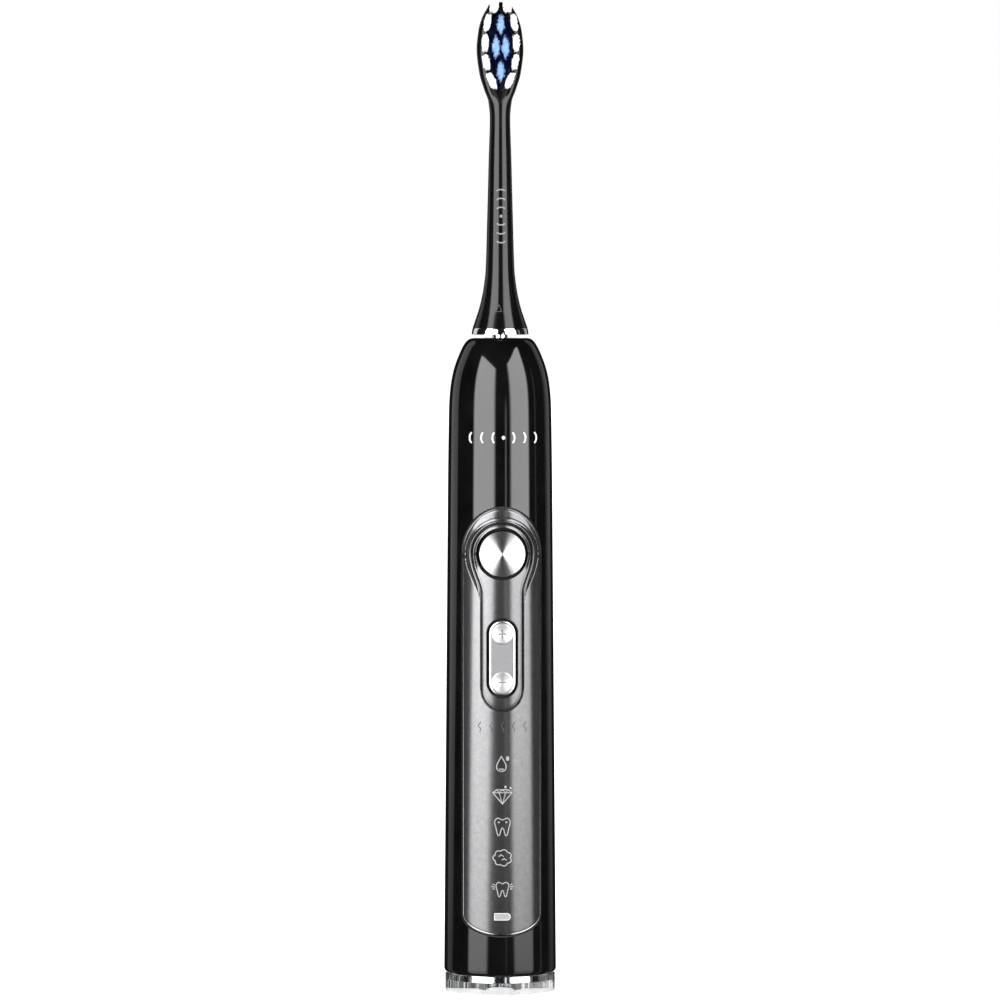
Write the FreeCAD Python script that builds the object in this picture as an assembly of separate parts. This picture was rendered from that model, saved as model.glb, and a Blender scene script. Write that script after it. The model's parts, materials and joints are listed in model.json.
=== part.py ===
"""Sonic toothbrush: a round handle that stands on a clear end cap, with a slide-off brush head.

Millimetres. Z is up along the handle's axis, the brush faces -Y, and the origin is the centre of
the flat face that the brush stands on. Each function makes one separate piece or one small group.
"""
import FreeCAD
import Part
import math
import os

V = FreeCAD.Vector
UP = V(0, 0, 1)
BACK = V(0, 1, 0)

# Handle
BASE_R = 14.0
TAPER = 0.008
TAPER_FROM_Z = 8.6
SHOULDER_Z = 128.6
SHOULDER = [(12.84, 143.6), (12.5, 151.1), (11.6, 156.1), (9.72, 161.1)]
TOP_R = 7.5
TOP_Z = 164.0
SHELL_BOTTOM_Z = 6.1
SHELL_EDGE_R = 1.0
WALL = 1.8
BORE_R = 12.1
BORE_TOP_Z = 17.5

# Clear end cap
CAP_R = 13.72
CAP_FLAT_R = 12.9
CAP_TIER_Z = 4.35
SPIGOT_R = 11.9
SPIGOT_TOP_Z = 10.1
SPIGOT_BORE_R = 10.4
CAP_WALL_R = 12.75
CHROME_R = 12.6
WELL_R = 3.6
WELL_DEPTH = 5.0
ORING_R = 0.5
ORING_Z = 8.4

# Control panel
PANEL_HALF_W = 9.9
PANEL_BOTTOM_Z = 16.2
PANEL_BOTTOM_RISE = 5.2
PANEL_TOP_RISE = 11.4
PANEL_T = 1.0
GASKET_W = 0.35
POWER_Z = 110.7
POWER_R = 5.87
POWER_GAP = 0.43
POWER_FRONT_Y = -13.35
POWER_BACK_Y = -11.9
POWER_TRAVEL = 0.4
ROCKER_Z = 84.95
ROCKER_HALF_W = 3.325
ROCKER_HALF_H = 9.3
ROCKER_GAP = 0.45
ROCKER_FRONT_R = 13.6
ROCKER_BACK_Y = -12.15
ROCKER_REACH = 6.4
PIVOT_Y = -9.5
PIN_R = 0.7
PIN_HALF_L = 4.2
KEYHOLE_R = 8.7
KEYHOLE_HALF_W = 5.3
KEYHOLE_BOTTOM_Z = 71.8
KEYHOLE_BLEND_R = 5.0
BEZEL_SUNK = 0.25
ICON_DEPTH = 0.35
ICON_SHRINK = 0.84
ICON_ZS = {"drop": 59.0, "gem": 51.1, "tooth": 43.3, "cloud": 35.6, "bright_tooth": 27.8}
BATTERY_ICON_Z = 21.0
INTENSITY_Z = 68.0
INTENSITY_PITCH = 2.8

# Buttons and light guide, behind the panel
SHELL_TOP_HOLE_R = 4.6
ICON_WINDOW = (2.7, 2.6)
BATTERY_WINDOW = (2.3, 1.3)
MARKS_WINDOW = (6.6, 1.5)
WINDOW_GAP = 0.1
WINDOW_BACK_Y = -9.0
MEMBRANE_T = 0.5
MEMBRANE_HALF_W = 7.2
MEMBRANE_Z = (72.5, 119.5)
OPENING_GAP = 0.35
PLUNGER_R = 1.5
PLUNGER_HOLE_R = 1.6
FOOT_R = 1.0
WEB_HALF = (1.6, 2.2)
BUTTON_REST_GAP = POWER_TRAVEL + 0.05
FRAME_BACK_Y = -8.8
FRAME_FRONT_Y = -9.4
FRAME_HALF_W = 5.2
FRAME_Z = (73.0, 118.0)
EAR_X = 3.25
EAR_HALF = (0.95, 1.6)
EAR_FRONT_Y = -10.1
POST_R = 0.8
POST_X = 4.4
POST_ZS = (75, 97, 117)
GUIDE_HALF_W = 3.4
GUIDE_Y = (-10.9, -8.9)
GUIDE_Z = (19.0, 71.0)
PAD_R = 2.75
PAD_T = 0.5

# Charging coil and the plug that holds it
BOBBIN_R = 9.8
BOBBIN_HUB_R = 4.2
BOBBIN_Z = (6.3, 12.9)
FLANGE_T = 0.8
COIL_R = 9.4
CORE_R = 3.1
CORE_CAP_R = 9.0
CORE_CAP_T = 1.4
CARRIER_R = 11.9
CARRIER_Z = (15.5, 16.5)
LEAD_R = 0.3
LEAD_X = 1.4
LEAD_Y = -5.9
LEAD_TOP_Z = 22.5
LEAD_SLOT_HALF_W = 2.2
LEAD_SLOT_Y = (-6.6, -5.2)
SCREW_X = 7.6
SCREW_Y = 3.0
SCREW_R = 1.0
SCREW_HEAD_R = 1.6
SCREW_HEAD_T = 1.0
SCREW_TOP_Z = 22.0

# Tray, board and battery
BOARD_FRONT_Y = -7.6
BOARD_T = 1.0
BOARD_HALF_W = 7.9
BOARD_CORNER_R = 1.2
BOARD_Z = (21.0, 120.0)
SWITCH_TOP_Y = -8.5
SWITCH_HALF = 1.5
DOME_R = 0.8
DOME_T = 0.3
CHASSIS_R = 10.6
CHASSIS_Z = (16.6, 148.0)
CROWN_TOP_Z = 153.5
CHASSIS_WALL = 1.0
RAIL_X = (7.2, 8.7)
BAR_X = (8.6, 10.3)
RAIL_BACK_Y = 0.5
LOW_BULKHEAD_TOP_Z = 23.0
MID_BULKHEAD_Z = (90.5, 92.5)
HIGH_BULKHEAD_Z = 146.0
CRADLE_Z = (140.0, 146.0)
CROWN_HOLE_R = 3.4
TAB_SLOT_HALF_W = 2.4
LED_HALF = (0.8, 0.4)
LED_T = 0.7
CHIP_HALF_W = 2.5
CHIP_Z = (98.0, 103.0)
CHIP_T = 0.9
PART_X = 5.6
PART_HALF = (0.6, 1.0)
PART_T = 0.6
PART_FIRST_Z = 28.0
PART_PITCH = 6.2
CELL_R = 7.0
CELL_Y = 2.0
CELL_Z = (24.0, 89.0)
NOSE_R = 2.8
NOSE_H = 0.8
WASHER_T = 0.4
TAB_HALF_W = 2.0
TAB_T = 0.3
TAB_REACH_Y = 2.5
PAD_FOAM_T = 1.2

# Motor
MOTOR_R = 6.2
MOTOR_Z = (96.0, 150.0)
MOTOR_WALL = 0.5
PLATE_T = 2.0
STATOR_R = 5.0
STATOR_Z = (108.0, 138.0)
POLE_HALF_W = 0.9
POLE_REACH = 5.2
POLE_FACE_R = 3.85
WINDING_R = (4.95, 3.95)
WINDING_Z = (106.5, 139.5)
WINDING_SLOT = 0.4
SLEEVE_T = 1.4
SLEEVE_HALF_W = 7.1
MOTOR_LEAD_X = 4.2
MOTOR_LEAD_Y = -2.6
MOTOR_LEAD_Z = 94.3
SEAL_R = 4.6
SEAL_FLANGE_R = 5.4
SEAL_FLANGE_Z = (160.6, 162.2)
SEAL_DROP = 0.3
RETAINER_R = 6.8

# Drive
SHAFT_R = 1.9
SHAFT_Z = (94.5, 185.5)
SHAFT_BEVEL = 0.5
SHAFT_RUN = 0.05
FLAT_Y = -1.35
FLAT_FROM_Z = 170.5
BUSH_R = 3.0
ROTOR_R = 2.6
ROTOR_Z = (105.0, 141.0)
MAGNET_R = 3.6
MAGNET_Z = (107.0, 139.0)
MAGNET_GAP = 0.2
COLLAR_Z = (150.3, 151.3)

# Brush head
RING_Z = (164.8, 166.4)
RING_R = (7.15, 6.93)
STEM_SECTIONS = [
    (166.4, 6.9, 6.9), (168.65, 6.12, 6.12), (171.15, 5.3, 5.3), (176.15, 4.17, 4.17),
    (181.15, 3.6, 3.6), (193.65, 3.22, 3.22), (208.65, 2.83, 2.83), (218.65, 2.55, 2.6),
    (222.65, 2.92, 2.6), (225.65, 3.97, 2.6), (229.65, 5.15, 2.6), (235.65, 5.82, 2.6),
    (240.15, 5.4, 2.5), (243.65, 4.4, 2.3), (246.2, 3.05, 1.9), (247.4, 1.6, 1.2),
]
HEAD_FACE_Y = -1.8
HEAD_FACE_FROM_Z = 224.5
INSERT_R = 3.0
INSERT_TOP_Z = 187.5
SOCKET_TOP_Z = 186.0
CLIP_SLOT_Z = (171.5, 185.0)
CLIP_Z = (172.0, 184.5)
CLIP_Y = (-1.75, -1.45)
CLIP_HALF_W = 0.9
BRISTLE_ROOT_Y = 0.4
ANCHOR_HALF_T = 0.12
ANCHOR_Y = (-0.8, 0.2)
TUFT_DEPTH = {"white": 10.0, "blue": 9.5, "navy": 9.2}
TUFT_ROUND = 0.6
WHITE_TUFTS = [(1.65, 245.7, 1.05, 1.55), (3.3, 241.7, 0.8, 2.0), (3.8, 236.7, 0.8, 2.1),
               (3.6, 231.9, 0.9, 1.9), (2.1, 227.6, 1.2, 1.7)]
BLUE_TUFTS = [(0.0, 241.4, 1.05, 2.6), (0.0, 229.8, 1.0, 2.7)]
BLUE_PAIR = (1.25, 235.7, 0.95, 2.9)
NAVY_TUFTS = [(1.85, 240.6, 0.5, 2.1), (2.6, 235.9, 0.3, 1.6), (1.85, 231.1, 0.5, 1.6)]

# Cutting bodies reach past the part by this much
FAR = 20.0


def cylinder(r, z0, z1, x=0.0, y=0.0):
    return Part.makeCylinder(r, z1 - z0, V(x, y, z0), UP)


def ring(r_out, r_in, z0, z1):
    return cylinder(r_out, z0, z1).cut(cylinder(r_in, z0 - 1, z1 + 1))


def block(x0, x1, y0, y1, z0, z1):
    return Part.makeBox(x1 - x0, y1 - y0, z1 - z0, V(x0, y0, z0))


def mirrored_block(side, x0, x1, y0, y1, z0, z1):
    """A block at x0 to x1 on the right, or its mirror image on the left."""
    return block(x0, x1, y0, y1, z0, z1) if side > 0 else block(-x1, -x0, y0, y1, z0, z1)


def rod_y(r, y0, y1, x, z):
    """A round bar along Y."""
    return Part.makeCylinder(r, y1 - y0, V(x, y0, z), BACK)


def rod_x(r, x0, x1, y, z):
    """A round bar along X."""
    return Part.makeCylinder(r, x1 - x0, V(x0, y, z), V(1, 0, 0))


def fused(shapes):
    """The shapes joined into one solid."""
    return shapes[0].multiFuse(shapes[1:]).removeSplitter()


def revolved(edges):
    """A solid from outline edges in the XZ half-plane that start and end on the axis."""
    face = Part.Face(Part.Wire(edges))
    return face.revolve(V(0, 0, 0), UP, 360)


def line(p, q):
    return Part.LineSegment(V(p[0], 0, p[1]), V(q[0], 0, q[1])).toShape()


def polyline(points):
    return [line(p, q) for p, q in zip(points, points[1:])]


def handle_radius(z):
    """The handle's outside radius on its long tapered stretch."""
    return BASE_R - TAPER * (z - TAPER_FROM_Z)


def handle_form(inset=0.0):
    """The handle's outside form as a solid, or the same form a wall's thickness further in."""
    low = (handle_radius(SHELL_BOTTOM_Z) - inset, SHELL_BOTTOM_Z)
    high = (handle_radius(SHOULDER_Z) - inset, SHOULDER_Z)
    crown = (TOP_R - inset, TOP_Z - inset)
    points = [high] + [(r - inset, z - inset) for r, z in SHOULDER] + [crown]
    curve = Part.BSplineCurve()
    curve.interpolate(
        Points=[V(r, 0, z) for r, z in points],
        InitialTangent=V(-TAPER, 0, 1),
        FinalTangent=V(-1.0, 0, 0.55),
    )
    edges = [line((0, low[1]), low), line(low, high), curve.toShape()]
    edges += polyline([crown, (0, crown[1]), (0, low[1])])
    return revolved(edges)


def ellipse_prism(rx, rz, z, y0, y1):
    """An elliptical bar along Y, centred on the front of the handle at height z."""
    ellipse = Part.Ellipse(V(0, 0, 0), max(rx, rz), min(rx, rz)).toShape()
    if rz > rx:
        ellipse.rotate(V(0, 0, 0), UP, 90)
    ellipse.rotate(V(0, 0, 0), V(1, 0, 0), 90)
    ellipse.translate(V(0, y0, z))
    return Part.Face(Part.Wire([ellipse])).extrude(V(0, y1 - y0, 0))


def panel_prism(grow, y0=-FAR, y1=0.0):
    """The panel's outline: straight sides, a tall round top and a shallow bowed bottom."""
    half_w = PANEL_HALF_W + grow
    z_low = PANEL_BOTTOM_Z + PANEL_BOTTOM_RISE
    sides = block(-half_w, half_w, y0, y1, z_low, POWER_Z)
    top = ellipse_prism(half_w, PANEL_TOP_RISE + grow, POWER_Z, y0, y1)
    bottom = ellipse_prism(half_w, PANEL_BOTTOM_RISE + grow, z_low, y0, y1)
    return fused([sides, top, bottom])


def keyhole_prism(y0=-FAR, y1=0.0):
    """The outline of the sunk surround: a disc round the power button and a slot round the rocker."""
    foot_z = KEYHOLE_BOTTOM_Z + KEYHOLE_HALF_W
    slot = block(-KEYHOLE_HALF_W, KEYHOLE_HALF_W, y0, y1, foot_z, POWER_Z)
    outline = fused([slot, rod_y(KEYHOLE_R, y0, y1, 0, POWER_Z), rod_y(KEYHOLE_HALF_W, y0, y1, 0, foot_z)])
    meet_z = POWER_Z - math.sqrt(KEYHOLE_R ** 2 - KEYHOLE_HALF_W ** 2)
    corners = [
        e for e in outline.Edges
        if abs(e.BoundBox.ZLength) < 0.01 and e.BoundBox.YLength > 1
        and abs(e.BoundBox.Center.z - meet_z) < 0.05
    ]
    return outline.makeFillet(KEYHOLE_BLEND_R, corners)


def stadium_prism(grow, y0, y1):
    """The rocker's outline, a slot with round ends."""
    half_w = ROCKER_HALF_W + grow
    run = ROCKER_HALF_H - ROCKER_HALF_W
    middle = block(-half_w, half_w, y0, y1, ROCKER_Z - run, ROCKER_Z + run)
    ends = [rod_y(half_w, y0, y1, 0, ROCKER_Z + side * run) for side in (-1, 1)]
    return fused([middle] + ends)


def power_hole(y0=-FAR, y1=-8.0):
    return rod_y(POWER_R + POWER_GAP, y0, y1, 0, POWER_Z)


def front_layer(outer, inner):
    """The skin between two insets of the handle's outside form."""
    return handle_form(outer).cut(handle_form(inner))


# Housing

def window(half, z, grow):
    """One block of the light guide, half a width and half a height either side of its centre."""
    half_w, half_h = half[0] + grow, half[1] + grow
    return block(-half_w, half_w, -FAR, WINDOW_BACK_Y, z - half_h, z + half_h)


def guide_windows(grow):
    """The blocks of the light guide that reach out to the icons and marks."""
    windows = [window(ICON_WINDOW, z, grow) for z in ICON_ZS.values()]
    windows.append(window(BATTERY_WINDOW, BATTERY_ICON_Z, grow))
    windows.append(window(MARKS_WINDOW, INTENSITY_Z, grow))
    return windows


def handle_shell():
    body = handle_form()
    edge = [e for e in body.Edges
            if abs(e.BoundBox.ZMax - SHELL_BOTTOM_Z) < 0.01 and e.BoundBox.XLength > BASE_R]
    body = body.makeFillet(SHELL_EDGE_R, edge)
    inside = handle_form(WALL).common(block(-FAR, FAR, -FAR, FAR, BORE_TOP_Z, TOP_Z))
    cuts = [
        inside,
        cylinder(BORE_R, 0, BORE_TOP_Z),
        cylinder(SHELL_TOP_HOLE_R, TOP_Z - FAR, TOP_Z + 1),
        panel_prism(GASKET_W).common(front_layer(0, PANEL_T)),
        power_hole(),
        stadium_prism(ROCKER_GAP, -FAR, -8),
    ]
    for cut in cuts + guide_windows(WINDOW_GAP):
        body = body.cut(cut)
    return body


def smooth_wire(points, z):
    """A closed smooth outline in front of the panel, from points about the icon's centre."""
    curve = Part.BSplineCurve()
    curve.interpolate(Points=[V(x, -16, z + h) for x, h in points], PeriodicFlag=True)
    return Part.Wire([curve.toShape()])


def straight_wire(points, z):
    return Part.makePolygon([V(x, -16, z + h) for x, h in points + points[:1]])


def icon_band(wire_of, points, z):
    """The bar behind an icon's line: the outline less the same outline drawn smaller."""
    inner = [(x * ICON_SHRINK, h * ICON_SHRINK) for x, h in points]
    outer_bar = Part.Face(wire_of(points, z)).extrude(V(0, 10, 0))
    inner_bar = Part.Face(wire_of(inner, z)).extrude(V(0, 10, 0))
    return outer_bar.cut(inner_bar)


DROP = [(0, 2.0), (0.75, 0.7), (1.3, -0.6), (0.85, -1.7), (0, -2.0), (-0.85, -1.7), (-1.3, -0.6),
        (-0.75, 0.7)]
GEM = [(-1.5, 1.9), (1.5, 1.9), (2.4, 0.7), (0, -2.2), (-2.4, 0.7)]
TOOTH = [(0, 1.7), (1.3, 2.2), (2.1, 1.1), (1.6, -0.6), (1.2, -2.2), (0.55, -2.0), (0, -0.5),
         (-0.55, -2.0), (-1.2, -2.2), (-1.6, -0.6), (-2.1, 1.1), (-1.3, 2.2)]


def cloud_points(rx=2.2, rz=1.9, lobes=7, swell=0.13):
    """A scalloped oval."""
    steps = lobes * 4
    angles = [2 * math.pi * i / steps for i in range(steps)]
    return [(rx * (1 + swell * math.cos(lobes * a)) * math.cos(a),
             rz * (1 + swell * math.cos(lobes * a)) * math.sin(a)) for a in angles]


def mode_icons():
    """A drop, a cut gem, a tooth, a foam cloud and a small tooth between two sparks."""
    small_tooth = [(x * 0.75, h * 0.8) for x, h in TOOTH]
    bars = [
        icon_band(smooth_wire, DROP, ICON_ZS["drop"]),
        icon_band(straight_wire, GEM, ICON_ZS["gem"]),
        icon_band(smooth_wire, TOOTH, ICON_ZS["tooth"]),
        icon_band(smooth_wire, cloud_points(), ICON_ZS["cloud"]),
        icon_band(smooth_wire, small_tooth, ICON_ZS["bright_tooth"]),
    ]
    for side in (-1, 1):
        z = ICON_ZS["bright_tooth"] + 0.35
        bars.append(block(side * 2.4 - 0.35, side * 2.4 + 0.35, -16, -6, z - 0.15, z + 0.15))
    skin = front_layer(0, ICON_DEPTH)
    return Part.makeCompound([s for bar in bars for s in bar.common(skin).Solids])


def battery_icon():
    body = block(-2.1, 1.4, -16, -8, BATTERY_ICON_Z - 0.95, BATTERY_ICON_Z + 0.95)
    nose = rod_y(0.95, -16, -8, 1.15, BATTERY_ICON_Z)
    return fused([body, nose]).common(front_layer(0, ICON_DEPTH))


def intensity_marks():
    """Five small upright windows in a row."""
    skin = front_layer(0, ICON_DEPTH)
    marks = []
    for i in range(-2, 3):
        x = i * INTENSITY_PITCH
        mark = block(x - 0.18, x + 0.18, -16, -8, INTENSITY_Z - 1.1, INTENSITY_Z + 1.1)
        marks.append(mark.common(skin))
    return Part.makeCompound([s for m in marks for s in m.Solids])


def control_panel(windows):
    panel = panel_prism(0).common(front_layer(0, PANEL_T))
    panel = panel.cut(keyhole_prism())
    return panel.cut(windows)


def panel_gasket():
    band = panel_prism(GASKET_W).cut(panel_prism(0))
    return band.common(front_layer(0.2, PANEL_T))


def button_bezel():
    bezel = keyhole_prism().common(front_layer(BEZEL_SUNK, PANEL_T))
    return bezel.cut(power_hole()).cut(stadium_prism(ROCKER_GAP, -FAR, -8))


def rocker_feet(r, y0, y1):
    """Two round bars behind the rocker, one at each end."""
    return [rod_y(r, y0, y1, 0, ROCKER_Z + side * ROCKER_REACH) for side in (-1, 1)]


def web_block(grow, y0, y1):
    half_w, half_h = WEB_HALF[0] + grow, WEB_HALF[1] + grow
    return block(-half_w, half_w, y0, y1, ROCKER_Z - half_h, ROCKER_Z + half_h)


def cut_for_buttons(sheet):
    """Openings for the plunger, the rocker's web and the rocker's two feet."""
    openings = [rod_y(PLUNGER_HOLE_R, -14, -8, 0, POWER_Z), web_block(OPENING_GAP, -14, -8)]
    for opening in openings + rocker_feet(FOOT_R + OPENING_GAP, -14, -8):
        sheet = sheet.cut(opening)
    return sheet


def button_membrane():
    """The silicone sheet behind the wall, with holes that the plunger and the rocker's feet fill."""
    extent = block(-MEMBRANE_HALF_W, MEMBRANE_HALF_W, -FAR, 0, *MEMBRANE_Z)
    return cut_for_buttons(front_layer(WALL, WALL + MEMBRANE_T).common(extent))


def button_frame():
    """The plate that carries the rocker's pin and guides the plunger."""
    plate = cut_for_buttons(block(-FRAME_HALF_W, FRAME_HALF_W, FRAME_FRONT_Y, FRAME_BACK_Y, *FRAME_Z))
    half_w, half_h = EAR_HALF
    ears = [block(side * EAR_X - half_w, side * EAR_X + half_w, EAR_FRONT_Y, FRAME_BACK_Y,
                  ROCKER_Z - half_h, ROCKER_Z + half_h) for side in (-1, 1)]
    posts = [rod_y(POST_R, FRAME_BACK_Y, BOARD_FRONT_Y, side * POST_X, z)
             for side in (-1, 1) for z in POST_ZS]
    frame = fused([plate] + ears + posts)
    half_l = PIN_HALF_L + 0.1
    return frame.cut(rod_x(PIN_R + SHAFT_RUN, -half_l, half_l, PIVOT_Y, ROCKER_Z))


def light_guide():
    bar = block(-GUIDE_HALF_W, GUIDE_HALF_W, *GUIDE_Y, *GUIDE_Z)
    form = handle_form(PANEL_T)
    windows = [w.common(form) for w in guide_windows(0)]
    half_w, half_h = MARKS_WINDOW
    low_z, high_z = INTENSITY_Z - half_h, INTENSITY_Z + half_h
    base = block(-half_w, half_w, WINDOW_BACK_Y, SWITCH_TOP_Y - 0.1, low_z, high_z)
    return fused([bar, base] + windows)


# Clear foot

def end_cap():
    """The clear foot: a rounded disc with a thin upstanding wall, the charging well, and a spigot."""
    edges = [
        line((0, 0), (CAP_FLAT_R, 0)),
        Part.Arc(V(CAP_FLAT_R, 0, 0), V(13.34, 0, 0.3), V(13.55, 0, 0.9)).toShape(),
    ]
    seal_r = BORE_R - 2 * ORING_R
    edges += polyline([
        (13.55, 0.9), (CAP_R, CAP_TIER_Z), (CAP_R, SHELL_BOTTOM_Z - 0.2), (CAP_R - 0.2, SHELL_BOTTOM_Z),
        (CAP_WALL_R, SHELL_BOTTOM_Z), (CAP_WALL_R, CAP_TIER_Z), (SPIGOT_R, CAP_TIER_Z),
        (SPIGOT_R, ORING_Z - ORING_R), (seal_r, ORING_Z - ORING_R), (seal_r, ORING_Z + ORING_R),
        (SPIGOT_R, ORING_Z + ORING_R), (SPIGOT_R, SPIGOT_TOP_Z), (SPIGOT_BORE_R, SPIGOT_TOP_Z),
        (SPIGOT_BORE_R, SHELL_BOTTOM_Z), (0, SHELL_BOTTOM_Z), (0, 0),
    ])
    return revolved(edges).cut(cylinder(WELL_R, -1, WELL_DEPTH))


def end_cap_ring():
    """The chrome ring that shows through the foot's clear wall."""
    return ring(CHROME_R, SPIGOT_R + 0.05, CAP_TIER_Z, SHELL_BOTTOM_Z)


def end_cap_oring():
    return Part.makeTorus(BORE_R - ORING_R, ORING_R, V(0, 0, ORING_Z), UP)


# Charging coil

def coil_bobbin():
    z0, z1 = BOBBIN_Z
    flanges = [ring(BOBBIN_R, CORE_R, z0, z0 + FLANGE_T), ring(BOBBIN_R, CORE_R, z1 - FLANGE_T, z1)]
    return fused([ring(BOBBIN_HUB_R, CORE_R, z0, z1)] + flanges)


def receiver_coil():
    return ring(COIL_R, BOBBIN_HUB_R, BOBBIN_Z[0] + FLANGE_T, BOBBIN_Z[1] - FLANGE_T)


def lead_slot(z0, z1):
    """The slot that the coil's two leads run through."""
    return block(-LEAD_SLOT_HALF_W, LEAD_SLOT_HALF_W, *LEAD_SLOT_Y, z0, z1)


def ferrite_core():
    z0, z1 = BOBBIN_Z
    core = fused([cylinder(CORE_R, z0, z1), cylinder(CORE_CAP_R, z1, z1 + CORE_CAP_T)])
    notch = block(-LEAD_SLOT_HALF_W, LEAD_SLOT_HALF_W, -9.5, LEAD_SLOT_Y[1], z1 - 0.9, z1 + CORE_CAP_T + 0.7)
    return core.cut(notch)


def end_carrier():
    """The inner plug that holds the coil down and takes the screws."""
    wall = ring(CARRIER_R, SPIGOT_BORE_R, SPIGOT_TOP_Z + 0.2, CARRIER_Z[1])
    carrier = fused([wall, cylinder(CARRIER_R, *CARRIER_Z)])
    carrier = carrier.cut(lead_slot(SPIGOT_TOP_Z, CHASSIS_Z[0]))
    hole_z = (SPIGOT_TOP_Z, CHASSIS_Z[0])
    for side in (-1, 1):
        carrier = carrier.cut(cylinder(SCREW_R + SHAFT_RUN, *hole_z, side * SCREW_X, SCREW_Y))
    return carrier


def chassis_screws():
    screws = []
    for side in (-1, 1):
        shank = cylinder(SCREW_R, CARRIER_Z[0], SCREW_TOP_Z, side * SCREW_X, SCREW_Y)
        head = cylinder(SCREW_HEAD_R, CARRIER_Z[0] - SCREW_HEAD_T, CARRIER_Z[0], side * SCREW_X, SCREW_Y)
        screws.append(fused([head, shank]))
    return Part.makeCompound(screws)


def coil_leads():
    leads = [cylinder(LEAD_R, BOBBIN_Z[1], LEAD_TOP_Z, side * LEAD_X, LEAD_Y) for side in (-1, 1)]
    return Part.makeCompound(leads)


# Tray, board and battery

def chassis_bars():
    """The rails that hold the board's edges, and the thicker bars outside them."""
    rail_y = BOARD_FRONT_Y + BOARD_T
    bars = []
    for side in (-1, 1):
        bars.append(mirrored_block(side, *RAIL_X, rail_y, RAIL_BACK_Y, *CHASSIS_Z))
        bars.append(mirrored_block(side, *BAR_X, -1, RAIL_BACK_Y, *CHASSIS_Z))
    return bars


def chassis_bulkheads():
    """The floors under the battery, between battery and motor, and over the motor, and the cradle."""
    inner = CHASSIS_R - CHASSIS_WALL + 0.1
    behind_board = block(-FAR, FAR, BOARD_FRONT_Y + BOARD_T, FAR, 0, TOP_Z)
    spans = [(CHASSIS_Z[0], LOW_BULKHEAD_TOP_Z), MID_BULKHEAD_Z, (HIGH_BULKHEAD_Z, CROWN_TOP_Z)]
    floors = [cylinder(inner, z0, z1).common(behind_board) for z0, z1 in spans]
    cradle = ring(inner, MOTOR_R + SLEEVE_T, *CRADLE_Z).common(block(-FAR, FAR, 0, FAR, *CRADLE_Z))
    return floors + [cradle]


def chassis():
    """The tray behind the board: a half tube with rails, bulkheads and the motor's cradle."""
    tube = ring(CHASSIS_R, CHASSIS_R - CHASSIS_WALL, *CHASSIS_Z)
    tube = tube.common(block(-FAR, FAR, -1, FAR, *CHASSIS_Z))
    tray = fused([tube] + chassis_bars() + chassis_bulkheads())
    cuts = [
        cylinder(CROWN_HOLE_R, MOTOR_Z[1], CROWN_TOP_Z + 1),
        cylinder(MOTOR_R + 0.1, HIGH_BULKHEAD_Z - 1, MOTOR_Z[1] + 1.5),
        lead_slot(0, LOW_BULKHEAD_TOP_Z + 1),
        block(-TAB_SLOT_HALF_W, TAB_SLOT_HALF_W, LEAD_SLOT_Y[0], -1, SCREW_TOP_Z, LOW_BULKHEAD_TOP_Z + 1),
    ]
    cuts += [cylinder(SCREW_R, 0, SCREW_TOP_Z, side * SCREW_X, SCREW_Y) for side in (-1, 1)]
    for cut in cuts:
        tray = tray.cut(cut)
    return tray


def circuit_board():
    board = block(-BOARD_HALF_W, BOARD_HALF_W, BOARD_FRONT_Y, BOARD_FRONT_Y + BOARD_T, *BOARD_Z)
    corners = [e for e in board.Edges if e.BoundBox.YLength > 0.5]
    return board.makeFillet(BOARD_CORNER_R, corners)


def on_board(half, x, z, height):
    """A small block on the front of the board."""
    half_w, half_h = half
    return block(x - half_w, x + half_w, BOARD_FRONT_Y - height, BOARD_FRONT_Y, z - half_h, z + half_h)


def tact_switches():
    switches = []
    for z in (POWER_Z, ROCKER_Z + ROCKER_REACH, ROCKER_Z - ROCKER_REACH):
        height = BOARD_FRONT_Y - SWITCH_TOP_Y
        body = on_board((SWITCH_HALF, SWITCH_HALF), 0, z, height - DOME_T)
        switches.append(fused([body, rod_y(DOME_R, SWITCH_TOP_Y, BOARD_FRONT_Y - 0.5, 0, z)]))
    return Part.makeCompound(switches)


def leds():
    lamps = [on_board(LED_HALF, 0, z, LED_T) for z in list(ICON_ZS.values()) + [BATTERY_ICON_Z]]
    lamps += [on_board(LED_HALF[::-1], i * INTENSITY_PITCH, INTENSITY_Z, LED_T) for i in range(-2, 3)]
    return Part.makeCompound(lamps)


def control_chip():
    return block(-CHIP_HALF_W, CHIP_HALF_W, BOARD_FRONT_Y - CHIP_T, BOARD_FRONT_Y, *CHIP_Z)


def board_components():
    """Small capacitors and resistors beside the lamps."""
    parts = [on_board(PART_HALF, side * PART_X, PART_FIRST_Z + PART_PITCH * i, PART_T)
             for i in range(6) for side in (-1, 1)]
    return Part.makeCompound(parts)


def battery_cell():
    z0, z1 = CELL_Z
    return fused([cylinder(CELL_R, z0, z1 - NOSE_H, 0, CELL_Y), cylinder(NOSE_R, z1 - NOSE_H, z1, 0, CELL_Y)])


def battery_insulator():
    """The washer round the battery's nose."""
    z0 = CELL_Z[1] - NOSE_H
    washer = cylinder(CELL_R - 0.3, z0, z0 + WASHER_T, 0, CELL_Y)
    return washer.cut(cylinder(NOSE_R, z0 - 1, z0 + 1, 0, CELL_Y))


def battery_tabs():
    """The strips from the battery's two ends to the board."""
    ends = (BOARD_FRONT_Y + BOARD_T, CELL_Y + TAB_REACH_Y)
    low = block(-TAB_HALF_W, TAB_HALF_W, *ends, CELL_Z[0] - TAB_T, CELL_Z[0])
    high = block(-TAB_HALF_W, TAB_HALF_W, *ends, CELL_Z[1], CELL_Z[1] + TAB_T)
    return Part.makeCompound([low, high])


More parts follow.
